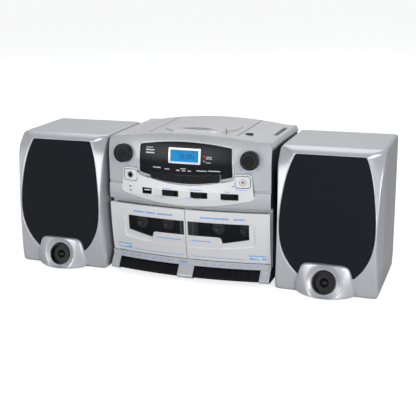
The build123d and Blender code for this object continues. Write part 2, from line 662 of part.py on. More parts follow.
with BuildPart() as lid_underside:
    # Skirt under the rim, disc clamp under the middle, hinge arms at the back.
    for x0, x1 in ((-lid_half, -lid_half + 2.0), (lid_half - 2.0, lid_half)):
        add(block(x0, x1, lid_front, unit_back - 8.0, 203.6, 220))
    add(block(-lid_half, lid_half, lid_front, lid_front + 2.0, 203.6, 220))
    add(rod_z(0, disc_y, 13.0, 195.2, 198.2))
    add(rod_z(0, disc_y, 6.0, 198.0, 220))
    for x in (-52.0, 52.0):
        add(block(x - 3.0, x + 3.0, lid_hinge_y - 4.0, lid_hinge_y + 2.7, 197.7, 220))
    extrude(top_outline(1.0, 190.0), amount=400, mode=Mode.INTERSECT)
    for x in (-52.0, 52.0):
        add(rod_x(lid_hinge_y, lid_hinge_z, 1.5 + joint_clearance, x - 10, x + 10), mode=Mode.SUBTRACT)

with BuildPart() as cd_lid:
    extrude(top_outline(0, 199.6), amount=400)
    extrude(top_outline(wall, 190.0), amount=400, mode=Mode.SUBTRACT)
    add(block(-lid_half, lid_half, lid_front, unit_back, 190, 230), mode=Mode.INTERSECT)
    add(lid_underside.part)
    add(lid_dome.part)
    # Almond-shaped finger recess.
    with BuildSketch(Plane.XY.offset(213.6)):
        with BuildLine():
            ThreePointArc((-29, front_y + 31), (0, front_y + 40), (29, front_y + 31))
            ThreePointArc((-29, front_y + 31), (0, front_y + 24), (29, front_y + 31))
        make_face()
    extrude(amount=30.0, mode=Mode.SUBTRACT)
export(cd_lid.part, "cd_lid")

# ---------------------------------------------------------------- CD deck
pickup_rod_y = 13.0
with BuildPart() as cd_deck:
    add(block(-74, 74, front_y + 9, front_y + 143.2, 194.4, 196.4))
    add(rod_z(0, disc_y, well_radius + 1.6, 184.0, 196.4))
    add(rod_z(0, disc_y, well_radius, 186.0, 220), mode=Mode.SUBTRACT)
    # Slot for the pickup and hole for the spindle.
    add(block(16.0, 59.0, disc_y - 8, disc_y + 8, 180, 190), mode=Mode.SUBTRACT)
    add(rod_z(0, disc_y, 8.0, 180, 190), mode=Mode.SUBTRACT)
    # Spindle motor under the floor, on three legs of the floor's underside.
    add(rod_z(0, disc_y, 11.0, 172.0, 184.2))
    add(rod_z(0, disc_y, 8.0, 182.5, 190), mode=Mode.SUBTRACT)
    add(rod_z(0, disc_y, 1.5 + joint_clearance, 174, 190), mode=Mode.SUBTRACT)
    # Guide rods of the pickup and their end blocks.
    for y in (disc_y - pickup_rod_y, disc_y + pickup_rod_y):
        add(rod_x(y, 180.0, 1.0, 11.0, 61.0))
        add(block(60.0, 62.0, y - 3, y + 3, 177.5, 184.2))
        add(block(12.0, 14.0, y - 3, y + 3, 177.5, 184.2))
    # Lugs with the lid's hinge pins.
    for x in (-52.0, 52.0):
        for side in (-1, 1):
            lug = x + side * 5.2
            add(block(lug - 1.6, lug + 1.6, lid_hinge_y - 5.0, lid_hinge_y + 3.0, 194.4, 203.0))
        add(rod_x(lid_hinge_y, lid_hinge_z, 1.5, x - 6.0, x + 6.0))
export(cd_deck.part, "cd_deck")

with BuildPart() as turntable:
    add(rod_z(0, disc_y, 15.5, 187.2, 189.4))
    add(rod_z(0, disc_y, 7.3, 189.4, 192.6))
    fillet(turntable.faces().sort_by(Axis.Z)[-1].edges(), 1.5)
    add(rod_z(0, disc_y, 5.0, 183.2, 187.4))
    add(rod_z(0, disc_y, 1.5, 175.0, 184.0))
export(turntable.part, "turntable")

with BuildPart() as cd_pickup:
    add(block(16.5, 30.5, disc_y - 17, disc_y + 17, 176.6, 182.6))
    add(rod_z(23.5, disc_y, 6.0, 182.0, 186.6))
    fillet(cd_pickup.faces().sort_by(Axis.Z)[-1].edges(), 0.6)
    for y in (disc_y - pickup_rod_y, disc_y + pickup_rod_y):
        add(rod_x(y, 180.0, 1.0 + joint_clearance, 10, 70), mode=Mode.SUBTRACT)
export(cd_pickup.part, "cd_pickup")

# ---------------------------------------------------------------- rear cabinet
rail_y = front_y + 66.0
rail_low, rail_high = 60.0, 150.0
battery_bay = (-50.0, 50.0, front_y + 100.0, 14.0, 84.0)   # x0, x1, front wall y, z0, z1
battery_door_half = 56.0
battery_door_low, battery_door_high = 10.0, 88.0
antenna_x = -104.0
antenna_y = unit_back + 5.2
antenna_z = 186.0

with BuildPart() as rear_cabinet:
    add(block(-half_width, half_width, front_y + 30.0, unit_back, floor_gap, 197.0))
    add(block(-half_width + wall, half_width - wall, front_y + 20.0, unit_back - wall, 6.5, 210.0),
        mode=Mode.SUBTRACT)
    fillet(rear_cabinet.edges().filter_by(Axis.Z).group_by(Axis.Y)[-1], 6.0)
    # Battery bay, open to the back.
    x0, x1, bay_y, z0, z1 = battery_bay
    add(block(x0 - 2, x1 + 2, bay_y - 2, unit_back - 1, z0 - 2, z1 + 2))
    add(block(x0, x1, bay_y, unit_back + 5, z0, z1), mode=Mode.SUBTRACT)
    # Recess for the battery door round the bay.
    add(block(-battery_door_half - 0.4, battery_door_half + 0.4, unit_back - 1.9, unit_back + 5,
              battery_door_low - 0.4, battery_door_high + 0.4), mode=Mode.SUBTRACT)
    for sign in (-1, 1):
        low, high = sorted((sign * (battery_door_half - 1.0), sign * (battery_door_half + 3.0)))
        add(rod_x(unit_back - 0.9, battery_door_low + 0.9, 0.7 + joint_clearance, low, high), mode=Mode.SUBTRACT)
    # Openings for the mains inlet and the speaker terminals.
    add(block(-96, -72, unit_back - 10, unit_back + 5, 20, 40), mode=Mode.SUBTRACT)
    add(block(72, 96, unit_back - 10, unit_back + 5, 20, 40), mode=Mode.SUBTRACT)
    # Cooling slots.
    for i in range(9):
        add(block(-64 + i * 16 - 4.0, -64 + i * 16 + 4.0, unit_back - 10, unit_back + 5, 120, 123),
            mode=Mode.SUBTRACT)
        add(block(-64 + i * 16 - 4.0, -64 + i * 16 + 4.0, unit_back - 10, unit_back + 5, 130, 133),
            mode=Mode.SUBTRACT)
    # Room at the top of the back for the swing of the lid.
    add(block(-lid_half - 1, lid_half + 1, unit_back - 3, unit_back + 5, 194.4, 210), mode=Mode.SUBTRACT)
    # Boss that the aerial turns on.
    add(rod_y(antenna_x, antenna_z, 7.0, unit_back - 6.0, unit_back + 1.0))
    add(rod_y(antenna_x, antenna_z, 2.5 + joint_clearance, unit_back - 5.0, unit_back + 5.0), mode=Mode.SUBTRACT)
    # T-shaped rails that the speakers hang on.
    for sign in (-1, 1):
        inner = sign * (half_width - 1.0)
        neck = sign * (half_width + speaker_gap + 4.4)
        head = sign * (half_width + speaker_gap + 7.4)
        low, high = sorted((inner, neck))
        add(block(low, high, rail_y - 3.0, rail_y + 3.0, rail_low, rail_high))
        low, high = sorted((neck, head))
        add(block(low, high, rail_y - 8.0, rail_y + 8.0, rail_low, rail_high))
export(rear_cabinet.part, "rear_cabinet")

with BuildPart() as battery_door:
    add(block(-battery_door_half, battery_door_half, unit_back - 1.8, unit_back,
              battery_door_low, battery_door_high))
    # Grip ribs near the top.
    for i in range(5):
        add(block(-14, 14, unit_back - 0.1, unit_back + 0.7, 70 + i * 3, 71.2 + i * 3))
    fillet(battery_door.edges().filter_by(Axis.X).group_by(Axis.Z)[0], 0.89)
    add(rod_x(unit_back - 0.9, battery_door_low + 0.9, 0.7, -battery_door_half - 2.5, battery_door_half + 2.5))
export(battery_door.part, "battery_door")

with BuildPart() as rear_sockets:
    # Figure-of-eight mains inlet.
    add(block(-96, -72, unit_back - 16, unit_back - 0.2, 20, 40))
    with BuildSketch(upright(unit_back + 1)):
        with Locations((-84, 30)):
            SlotOverall(14.0, 8.0)
    extrude(amount=12.0, both=True, mode=Mode.SUBTRACT)
    for x in (-87.2, -80.8):
        add(rod_y(x, 30, 1.2, unit_back - 16, unit_back - 4))
    # Spring terminals for the speaker leads.
    add(block(72, 96, unit_back - 12, unit_back - 0.2, 20, 40))
    for x in (76, 81.4, 86.6, 92):
        add(block(x - 1.9, x + 1.9, unit_back - 1, unit_back + 1.4, 31, 37.5))
        add(rod_y(x, 25, 1.3, unit_back - 7, unit_back + 1), mode=Mode.SUBTRACT)

# Every socket of the set, front and back, in one piece list entry.
with BuildPart() as sockets:
    add(front_sockets.part)
    add(rear_sockets.part)
export(sockets.part, "sockets")

# ---------------------------------------------------------------- boards
with BuildPart() as main_board:
    board_y = front_y + 52.0
    add(block(-122.3, 122.3, board_y, board_y + 1.6, 112, 168))
    for x in (-60, -42, 42):
        add(rod_y(x, 128, 6.0, board_y + 1.5, board_y + 20))
    for x in (-90, -20, 20, 80):
        add(block(x - 9, x + 9, board_y + 1.5, board_y + 5, 145, 160))
    # Heat sink of the output stage.
    for i in range(6):
        add(block(62 + i * 6, 64 + i * 6, board_y + 5, board_y + 24, 118, 140))
    add(block(62, 94, board_y + 1.5, board_y + 5.2, 118, 140))
export(main_board.part, "main_board")

with BuildPart() as power_transformer:
    add(block(-112, -64, front_y + 66, front_y + 108, 6.5, 10.0))
    add(block(-106, -70, front_y + 70, front_y + 104, 10.0, 46.0))
    add(block(-112, -64, front_y + 78, front_y + 96, 16.0, 40.0))
export(power_transformer.part, "power_transformer")

# ---------------------------------------------------------------- aerial
antenna_length = 168.0
with BuildPart() as antenna_lower:
    add(rod_y(antenna_x, antenna_z, 2.5, unit_back - 4.0, unit_back + 2.0))
    add(rod_y(antenna_x, antenna_z, 5.0, unit_back + 1.3, unit_back + 9.0))
    add(rod_x(antenna_y, antenna_z, 2.9, antenna_x, antenna_x + antenna_length))
    add(rod_x(antenna_y, antenna_z, 1.8 + joint_clearance, antenna_x + 8, antenna_x + antenna_length + 5),
        mode=Mode.SUBTRACT)
export(antenna_lower.part, "antenna_lower")

with BuildPart() as antenna_upper:
    add(rod_x(antenna_y, antenna_z, 1.8, antenna_x + 9, antenna_x + antenna_length + 2))
    add(rod_x(antenna_y, antenna_z, 3.0, antenna_x + antenna_length + 0.4, antenna_x + antenna_length + 8))
    fillet(antenna_upper.faces().sort_by(Axis.X)[-1].edges(), 1.2)
export(antenna_upper.part, "antenna_upper")

# ---------------------------------------------------------------- feet and screws
foot_places = ((-100, front_y + 24), (100, front_y + 24), (-100, front_y + 128), (100, front_y + 128))
with BuildPart() as rubber_feet:
    for x, y in foot_places:
        add(rod_z(x, y, 7.0, 0.0, floor_gap))
    fillet(rubber_feet.faces().filter_by(Axis.Z).group_by(Axis.Z)[0].edges(), 0.8)
export(rubber_feet.part, "rubber_feet")

screw_places = ((-112, 176), (112, 176), (-112, 12), (112, 12), (0, 108))
with BuildPart() as case_screws:
    for x, z in screw_places:
        add(rod_y(x, z, 3.4, unit_back, unit_back + 1.6))
        add(block(x - 0.5, x + 0.5, unit_back + 0.7, unit_back + 3, z - 2.2, z + 2.2), mode=Mode.SUBTRACT)
        add(block(x - 2.2, x + 2.2, unit_back + 0.7, unit_back + 3, z - 0.5, z + 0.5), mode=Mode.SUBTRACT)
export(case_screws.part, "case_screws")

# ---------------------------------------------------------------- speakers
scoop_height = 95.0
scoop_radius = 950.0
baffle_wall = 4.0


def scoop(sign):
    """A large horizontal drum that hollows one side of a speaker towards its front."""
    turn = radians(5.0)
    along = (sign * sin(turn), cos(turn), 0)
    edge = (sign * 69.2, front_y - 22.0, scoop_height)
    out = (sign * cos(turn), -sin(turn), 0)
    centre = tuple(e + o * scoop_radius for e, o in zip(edge, out))
    with BuildPart(mode=Mode.PRIVATE) as drum:
        with BuildSketch(Plane(origin=centre, x_dir=(0, 0, 1), z_dir=along)):
            Circle(scoop_radius)
        extrude(amount=60, both=True)
    return drum.part


with BuildSketch(Plane.YZ) as speaker_side:
    with BuildLine():
        ThreePointArc((front_y - 3.0, 195.0), (front_y - 22.0, 110.0), (front_y - 18.0, 1.5))
        ThreePointArc((front_y - 3.0, 195.0), (front_y + 3.0, 201.6), (front_y + 13.3, 203.6))
        Polyline((front_y + 13.3, 203.6), (speaker_back - 3, 203.6), (speaker_back, 200.6),
                 (speaker_back, 22.0), (speaker_back - 6.0, 6.0), (speaker_back - 14.0, 0.0),
                 (front_y - 16.5, 0.0), (front_y - 18.0, 1.5))
    make_face()

with BuildSketch(Plane.YZ) as speaker_hollow:
    with BuildLine():
        ThreePointArc((front_y + 1.6, 193.0), (front_y - 17.8, 110.0), (front_y - 14.0, 4.0))
        ThreePointArc((front_y + 1.6, 193.0), (front_y + 6.0, 198.0), (front_y + 14.0, 199.6))
        Polyline((front_y + 14.0, 199.6), (speaker_back - 4.0, 199.6), (speaker_back - 4.0, 23.0),
                 (speaker_back - 9.6, 8.6), (speaker_back - 15.6, 4.0), (front_y - 14.0, 4.0))
    make_face()

# Front view of a speaker, with its rounded top corners.
with BuildSketch(upright(front_y + 140)) as speaker_outline:
    with Locations((0, speaker_height / 2)):
        Rectangle(speaker_width, speaker_height)
    fillet(speaker_outline.vertices().group_by(Axis.Z)[-1], 4.5)

with BuildPart() as speaker_solid:
    extrude(speaker_side.sketch, amount=speaker_width / 2, both=True)
    extrude(speaker_outline.sketch, amount=250, mode=Mode.INTERSECT)
    for sign in (-1, 1):
        add(scoop(sign), mode=Mode.SUBTRACT)

with BuildPart() as speaker_inside:
    extrude(speaker_hollow.sketch, amount=speaker_width / 2 - 3.6, both=True)
    # Keep clear of the scooped sides.
    for sign in (-1, 1):
        add(scoop(sign).moved(Location((-sign * 3.4, 0, 0))), mode=Mode.SUBTRACT)

with BuildSketch(upright(front_y + 60)) as grille_outline:
    with BuildLine():
        for sign in (-1, 1):
            ThreePointArc((sign * 50.0, 195.0), (sign * 62.5, 148.0), (sign * 67.3, 92.0))
            ThreePointArc((sign * 67.3, 92.0), (sign * 61.2, 57.0), (sign * 40.5, 27.5))
        Line((-50.0, 195.0), (50.0, 195.0))
        Line((-40.5, 27.5), (40.5, 27.5))
    make_face()
    fillet(grille_outline.vertices().group_by(Axis.Z)[-1], 4.0)

# Housing of the tweeter: it stands out of the baffle at the bottom.
with BuildSketch(Plane.YZ) as chin_side:
    with BuildLine():
        Polyline((front_y + 5.0, 47.0), (front_y - 26.5, 47.0), (front_y - 29.0, 45.0),
                 (front_y - 40.5, 9.0), (front_y - 43.0, 3.0), (front_y - 41.0, 0.0), (front_y + 5.0, 0.0),
                 close=True)
    make_face()
with BuildSketch(upright(front_y + 60)) as chin_outline:
    with BuildLine():
        Line((-33.0, 47.0), (33.0, 47.0))
        Line((33.0, 47.0), (47.0, 0.0))
        Line((47.0, 0.0), (-47.0, 0.0))
        Line((-47.0, 0.0), (-33.0, 47.0))
    make_face()
    fillet(chin_outline.vertices().group_by(Axis.Z)[-1], 4.0)
with BuildSketch(Plane.XY) as chin_plan:
    with BuildLine():
        ThreePointArc((-47.0, front_y - 17.0), (0, front_y - 43.5), (47.0, front_y - 17.0))
        Polyline((47.0, front_y - 17.0), (47.0, front_y + 20), (-47.0, front_y + 20), (-47.0, front_y - 17.0))
    make_face()
with BuildPart() as chin:
    extrude(chin_side.sketch, amount=60, both=True)
    extrude(chin_outline.sketch, amount=200, mode=Mode.INTERSECT)
    extrude(chin_plan.sketch, amount=60, mode=Mode.INTERSECT)

tweeter_z = 22.5
tweeter_tilt = 17.5
tweeter_face = (0, front_y - 35.5, tweeter_z)
tweeter_out = (0, -cos(radians(tweeter_tilt)), sin(radians(tweeter_tilt)))
tweeter_plane = Plane(origin=tweeter_face, x_dir=(1, 0, 0), z_dir=tweeter_out)

with BuildPart() as baffle:
    add(speaker_solid.part)
    add(block(-90, 90, speaker_join, speaker_back + 10, -5, 300), mode=Mode.SUBTRACT)
    add(speaker_inside.part, mode=Mode.SUBTRACT)
    # Opening filled by the grille.
    extrude(grille_outline.sketch, amount=120, mode=Mode.SUBTRACT)
    add(chin.part)
    # Dish and seat of the tweeter.
    with BuildSketch(tweeter_plane.offset(-12)):
        Circle(16.4)
    extrude(amount=40, mode=Mode.SUBTRACT)

with BuildPart() as grille:
    with BuildSketch(Plane.YZ):
        with BuildLine():
            ThreePointArc((front_y - 2.6, 195.5), (front_y - 21.6, 110.0), (front_y - 17.6, 1.5))
            ThreePointArc((front_y - 0.1, 195.5), (front_y - 19.1, 110.0), (front_y - 15.1, 1.5))
            Line((front_y - 2.6, 195.5), (front_y - 0.1, 195.5))
            Line((front_y - 17.6, 1.5), (front_y - 15.1, 1.5))
        make_face()
    extrude(amount=100, both=True)
    extrude(grille_outline.sketch, amount=120, mode=Mode.INTERSECT)
    add(chin.part, mode=Mode.SUBTRACT)

with BuildPart() as cabinet:
    add(speaker_solid.part)
    add(block(-90, 90, front_y - 100, speaker_join, -5, 300), mode=Mode.SUBTRACT)
    add(speaker_inside.part, mode=Mode.SUBTRACT)
    # Channel that slides over the T rail; open at the bottom.
    inner = -speaker_width / 2
    add(block(inner, inner + 13.0, rail_y - 13.0, rail_y + 13.0, 0.0, rail_high + 6.0))
    add(block(inner - 1, inner + 5.0, rail_y - 3.5, rail_y + 3.5, -1, rail_high + 0.4), mode=Mode.SUBTRACT)
    add(block(inner + 3.8, inner + 8.4, rail_y - 8.6, rail_y + 8.6, -1, rail_high + 0.4), mode=Mode.SUBTRACT)
    # Sub-baffle that carries the woofer, with its opening.
    add(block(-69.0, 69.0, speaker_join, speaker_join + 6.0, 3.5, 200.0))
    add(rod_y(0, 118.0, 52.0, speaker_join - 5, speaker_join + 12), mode=Mode.SUBTRACT)

with BuildPart() as drivers:
    # Woofer: frame ring, cone and magnet.
    with BuildSketch(Plane.YZ):
        with BuildLine():
            Polyline((speaker_join - 3.0, 118 + 57), (speaker_join, 118 + 57), (speaker_join, 118 + 51.8),
                     (speaker_join + 24, 118 + 24), (speaker_join + 24, 118 + 32), (speaker_join + 42, 118 + 32),
                     (speaker_join + 42, 118), (speaker_join + 16, 118), (speaker_join + 14, 118 + 14),
                     (speaker_join - 2, 118 + 46), (speaker_join - 3.0, 118 + 57), close=False)
        make_face()
    revolve(axis=Axis((0, 0, 118), (0, 1, 0)))
    # Tweeter: a black cup with a domed diaphragm.
    with BuildSketch(tweeter_plane.offset(-12)):
        Circle(16.3)
    extrude(amount=9)
    with BuildSketch(tweeter_plane.offset(-9)):
        Circle(14.3)
    extrude(amount=30, mode=Mode.SUBTRACT)
    add(Pos(*tweeter_plane.offset(-11.5).origin) * Sphere(7.0, mode=Mode.PRIVATE))
    with BuildSketch(tweeter_plane.offset(-12)):
        Circle(30)
    extrude(amount=-30, mode=Mode.SUBTRACT)

for side, sign in (("left", -1), ("right", 1)):
    pieces = {"speaker_cabinet": cabinet, "speaker_baffle": baffle, "speaker_grille": grille,
              "speaker_drivers": drivers}
    for name, piece in pieces.items():
        shape = piece.part if sign > 0 else mirror(piece.part, about=Plane.YZ)
        export(shape.moved(Location((sign * speaker_x, 0, 0))), f"{name}_{side}")
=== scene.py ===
"""Looks of a silver portable stereo with twin cassette decks, disc player and two lift-off speakers."""
import bpy
import bmesh
import math
from mathutils import Matrix, Vector
from mathutils.bvhtree import BVHTree


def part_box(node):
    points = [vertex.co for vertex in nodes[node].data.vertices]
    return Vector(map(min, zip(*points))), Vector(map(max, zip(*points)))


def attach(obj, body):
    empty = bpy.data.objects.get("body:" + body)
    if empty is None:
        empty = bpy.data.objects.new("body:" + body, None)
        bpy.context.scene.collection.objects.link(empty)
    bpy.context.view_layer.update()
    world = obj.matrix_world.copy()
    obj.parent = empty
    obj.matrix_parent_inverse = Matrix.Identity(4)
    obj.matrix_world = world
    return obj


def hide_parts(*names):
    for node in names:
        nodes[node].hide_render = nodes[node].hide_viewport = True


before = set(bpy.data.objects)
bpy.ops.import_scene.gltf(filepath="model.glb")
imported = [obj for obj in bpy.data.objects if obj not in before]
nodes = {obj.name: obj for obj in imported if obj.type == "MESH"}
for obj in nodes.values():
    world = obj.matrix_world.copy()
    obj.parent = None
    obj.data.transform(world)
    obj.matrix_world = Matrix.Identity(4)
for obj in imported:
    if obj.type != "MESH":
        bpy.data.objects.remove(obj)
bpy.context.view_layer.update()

MM = 0.001
SIDES = {"left": -1, "right": 1}
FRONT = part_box("speaker_cabinet_right")[0][1] - 24 * MM     # top front corners of the centre unit
BOW_RADIUS = 620.0                                           # plan radius of the centre unit's bowed front, mm


def bow_depth(x):
    """How far the bowed front has receded, in mm, at x mm from the middle."""
    return BOW_RADIUS - math.sqrt(BOW_RADIUS ** 2 - x ** 2)


# ---------------------------------------------------------------- materials
def new_material(name):
    material = bpy.data.materials.new(name)
    material.use_nodes = True
    tree = material.node_tree
    shader = tree.nodes["Principled BSDF"]
    return material, tree, shader


def texture_space(tree):
    return tree.nodes.new("ShaderNodeTexCoord").outputs["Object"]


def noise(tree, space, scale, detail=3.0, roughness=0.55, stretch=None):
    if stretch:
        mapping = tree.nodes.new("ShaderNodeMapping")
        mapping.inputs["Scale"].default_value = stretch
        tree.links.new(space, mapping.inputs["Vector"])
        space = mapping.outputs["Vector"]
    texture = tree.nodes.new("ShaderNodeTexNoise")
    texture.inputs["Scale"].default_value = scale
    texture.inputs["Detail"].default_value = detail
    texture.inputs["Roughness"].default_value = roughness
    tree.links.new(space, texture.inputs["Vector"])
    return texture.outputs["Fac"]


def ramp(tree, value, low, high, at=(0.35, 0.65)):
    node = tree.nodes.new("ShaderNodeValToRGB")
    node.color_ramp.elements[0].position = at[0]
    node.color_ramp.elements[1].position = at[1]
    node.color_ramp.elements[0].color = (*low, 1)
    node.color_ramp.elements[1].color = (*high, 1)
    tree.links.new(value, node.inputs["Fac"])
    return node.outputs["Color"]


def between(tree, value, low, high):
    """Maps a 0 to 1 texture value to a range, for roughness."""
    node = tree.nodes.new("ShaderNodeMapRange")
    node.inputs["To Min"].default_value = low
    node.inputs["To Max"].default_value = high
    tree.links.new(value, node.inputs["Value"])
    return node.outputs["Result"]


def bump(tree, shader, height, strength, distance):
    node = tree.nodes.new("ShaderNodeBump")
    node.inputs["Strength"].default_value = strength
    node.inputs["Distance"].default_value = distance
    tree.links.new(height, node.inputs["Height"])
    tree.links.new(node.outputs["Normal"], shader.inputs["Normal"])


def plain(name, low, high, rough, metallic=0.0, scale=420.0, relief=0.25, depth=0.00006, coat=0.0, specular=0.5):
    """A moulded or painted finish: fine grain in colour, roughness and relief."""
    material, tree, shader = new_material(name)
    space = texture_space(tree)
    grain = noise(tree, space, scale, 4.0)
    drift = noise(tree, space, 14.0, 2.0)
    tree.links.new(ramp(tree, drift, low, high, (0.3, 0.7)), shader.inputs["Base Color"])
    tree.links.new(between(tree, grain, rough[0], rough[1]), shader.inputs["Roughness"])
    shader.inputs["Metallic"].default_value = metallic
    shader.inputs["Specular IOR Level"].default_value = specular
    if coat:
        shader.inputs["Coat Weight"].default_value = coat
        shader.inputs["Coat Roughness"].default_value = 0.12
    bump(tree, shader, grain, relief, depth)
    return material


def silver_paint(name, low, high, rough=(0.30, 0.40), metallic=0.35, painted_shade_sides=False):
    """Metallic paint: tiny bright flakes in a grey base under a satin lacquer."""
    material, tree, shader = new_material(name)
    space = texture_space(tree)
    cells = tree.nodes.new("ShaderNodeTexVoronoi")
    cells.inputs["Scale"].default_value = 2600.0
    tree.links.new(space, cells.inputs["Vector"])
    drift = noise(tree, space, 9.0, 2.0)
    flakes = tree.nodes.new("ShaderNodeMix")
    flakes.data_type = "RGBA"
    flakes.blend_type = "SOFT_LIGHT"
    flakes.inputs["Factor"].default_value = 0.18
    tree.links.new(ramp(tree, drift, low, high, (0.3, 0.7)), flakes.inputs["A"])
    tree.links.new(cells.outputs["Color"], flakes.inputs["B"])
    colour = flakes.outputs["Result"]
    if painted_shade_sides:
        # Painted shade: the end walls, which face the speakers, are darkened to near black to stand in for the shadow
        # in the narrow gaps beside the speakers.
        facing = tree.nodes.new("ShaderNodeSeparateXYZ")
        tree.links.new(tree.nodes.new("ShaderNodeTexCoord").outputs["Normal"], facing.inputs["Vector"])
        size = tree.nodes.new("ShaderNodeMath")
        size.operation = "ABSOLUTE"
        tree.links.new(facing.outputs["X"], size.inputs[0])
        side_shade_mask = tree.nodes.new("ShaderNodeMapRange")
        side_shade_mask.inputs["From Min"].default_value = 0.80
        side_shade_mask.inputs["From Max"].default_value = 0.97
        tree.links.new(size.outputs[0], side_shade_mask.inputs["Value"])
        blend = tree.nodes.new("ShaderNodeMix")
        blend.data_type = "RGBA"
        blend.inputs["B"].default_value = (0.05, 0.052, 0.058, 1)
        tree.links.new(side_shade_mask.outputs["Result"], blend.inputs["Factor"])
        tree.links.new(colour, blend.inputs["A"])
        colour = blend.outputs["Result"]
    tree.links.new(colour, shader.inputs["Base Color"])
    grain = noise(tree, space, 900.0, 3.0)
    tree.links.new(between(tree, grain, rough[0], rough[1]), shader.inputs["Roughness"])
    shader.inputs["Metallic"].default_value = metallic
    shader.inputs["Coat Weight"].default_value = 0.25
    shader.inputs["Coat Roughness"].default_value = 0.2
    bump(tree, shader, grain, 0.12, 0.00003)
    return material


silver = silver_paint("silver_paint", (0.57, 0.585, 0.62), (0.62, 0.635, 0.665))
# The fascia's paint has painted shade on its end walls, for the shadow in the gaps beside the speakers.
silver_fascia_shaded_ends = silver_paint("silver_fascia_paint", (0.57, 0.585, 0.62), (0.62, 0.635, 0.665), painted_shade_sides=True)
pale_silver = silver_paint("pale_silver_paint", (0.80, 0.805, 0.82), (0.85, 0.855, 0.87), (0.32, 0.42), 0.3)
silver_top = silver_paint("silver_top_paint", (0.64, 0.635, 0.645), (0.69, 0.685, 0.695), (0.36, 0.46), 0.4)
silver_box = silver_paint("silver_box_paint", (0.56, 0.565, 0.585), (0.61, 0.615, 0.635), (0.34, 0.44), 0.5)
# Dark grey silver for painted shade: round the raised island, at the ends of the button recess, along the top front
# seam and round the sockets.
painted_shade_silver = silver_paint("shade_silver_paint", (0.24, 0.245, 0.26), (0.29, 0.295, 0.31), (0.4, 0.5), 0.4)
charcoal = plain("charcoal_plastic", (0.028, 0.028, 0.031), (0.04, 0.04, 0.043), (0.5, 0.68), relief=0.5,
                 depth=0.0001)
gloss_black = plain("gloss_panel", (0.004, 0.005, 0.007), (0.007, 0.008, 0.010), (0.22, 0.30), relief=0.02,
                    specular=0.22)
satin_black = plain("black_plastic", (0.004, 0.004, 0.005), (0.007, 0.007, 0.009), (0.34, 0.44), relief=0.15,
                    specular=0.26)
key_black = plain("key_plastic", (0.004, 0.004, 0.006), (0.008, 0.008, 0.010), (0.24, 0.34), relief=0.12,
                  specular=0.3)
deck_black = plain("deck_plastic", (0.010, 0.010, 0.011), (0.018, 0.018, 0.020), (0.45, 0.6), relief=0.4,
                   specular=0.3)
reel_grey = plain("reel_plastic", (0.30, 0.305, 0.315), (0.38, 0.385, 0.395), (0.3, 0.42))
rubber = plain("foot_rubber", (0.02, 0.02, 0.02), (0.035, 0.035, 0.034), (0.7, 0.85), relief=0.5, depth=0.0001)
green_board = plain("board_resin", (0.012, 0.09, 0.035), (0.02, 0.13, 0.05), (0.28, 0.42), scale=180.0)
steel = plain("zinc_steel", (0.50, 0.50, 0.51), (0.60, 0.60, 0.61), (0.28, 0.42), metallic=1.0, scale=260.0)
chrome = plain("aerial_chrome", (0.78, 0.78, 0.80), (0.86, 0.86, 0.88), (0.06, 0.14), metallic=1.0, relief=0.03)
# Pale silver for the screen bezel and the socket tongue, and also for the painted highlight along the display's lip.
bezel_silver = silver_paint("bezel_silver", (0.70, 0.71, 0.74), (0.78, 0.79, 0.81), (0.26, 0.34))
# Dark grey for the painted shade in the finger recess on the disc lid.
recess_shade_grey = plain("recess_shade_grey", (0.15, 0.15, 0.16), (0.18, 0.18, 0.19), (0.6, 0.7), relief=0.1, specular=0.15)
# Lighter grey for painted highlight rings on the dark knobs.
knob_highlight_grey = plain("knob_highlight_grey", (0.05, 0.052, 0.058), (0.07, 0.072, 0.078), (0.3, 0.4), relief=0.1)
print_blue = plain("print_blue", (0.10, 0.36, 0.86), (0.16, 0.44, 0.92), (0.4, 0.5), relief=0.05)
# Pale ink for real print, and also for painted highlights on the reel spindles.
print_and_highlight_white = plain("print_and_highlight_white", (0.72, 0.73, 0.75), (0.82, 0.83, 0.84), (0.4, 0.5), relief=0.05)
# Near-black ink for real print, and also for painted shade in grooves, seams, the lid slit and the socket holes.
print_and_shade_dark = plain("print_and_shade_dark", (0.03, 0.03, 0.035), (0.05, 0.05, 0.055), (0.4, 0.5), relief=0.05)


def smoked():
    """Dark transparent pane that lets the deck behind show through."""
    material, tree, shader = new_material("smoked_pane")
    space = texture_space(tree)
    haze = noise(tree, space, 60.0, 2.0)
    tree.links.new(ramp(tree, haze, (0.006, 0.007, 0.009), (0.010, 0.011, 0.014)), shader.inputs["Base Color"])
    tree.links.new(between(tree, haze, 0.03, 0.08), shader.inputs["Roughness"])
    shader.inputs["Alpha"].default_value = 0.46
    shader.inputs["Specular IOR Level"].default_value = 0.45
    return material


def cloth():
    """Fine stretched black cloth: two crossed sets of threads."""
    material, tree, shader = new_material("speaker_cloth")
    space = texture_space(tree)
    threads = []
    for axis in ("X", "Z"):
        wave = tree.nodes.new("ShaderNodeTexWave")
        wave.wave_type = "BANDS"
        wave.bands_direction = axis
        wave.inputs["Scale"].default_value = 260.0
        wave.inputs["Distortion"].default_value = 0.6
        tree.links.new(space, wave.inputs["Vector"])
        threads.append(wave.outputs["Fac"])
    cross = tree.nodes.new("ShaderNodeMath")
    cross.operation = "MAXIMUM"
    tree.links.new(threads[0], cross.inputs[0])
    tree.links.new(threads[1], cross.inputs[1])
    tree.links.new(ramp(tree, cross.outputs[0], (0.003, 0.004, 0.006), (0.008, 0.010, 0.015), (0.2, 0.9)),
                   shader.inputs["Base Color"])
    shader.inputs["Roughness"].default_value = 0.85
    shader.inputs["Sheen Weight"].default_value = 0.06
    shader.inputs["Specular IOR Level"].default_value = 0.25
    bump(tree, shader, cross.outputs[0], 0.5, 0.0002)
    return material


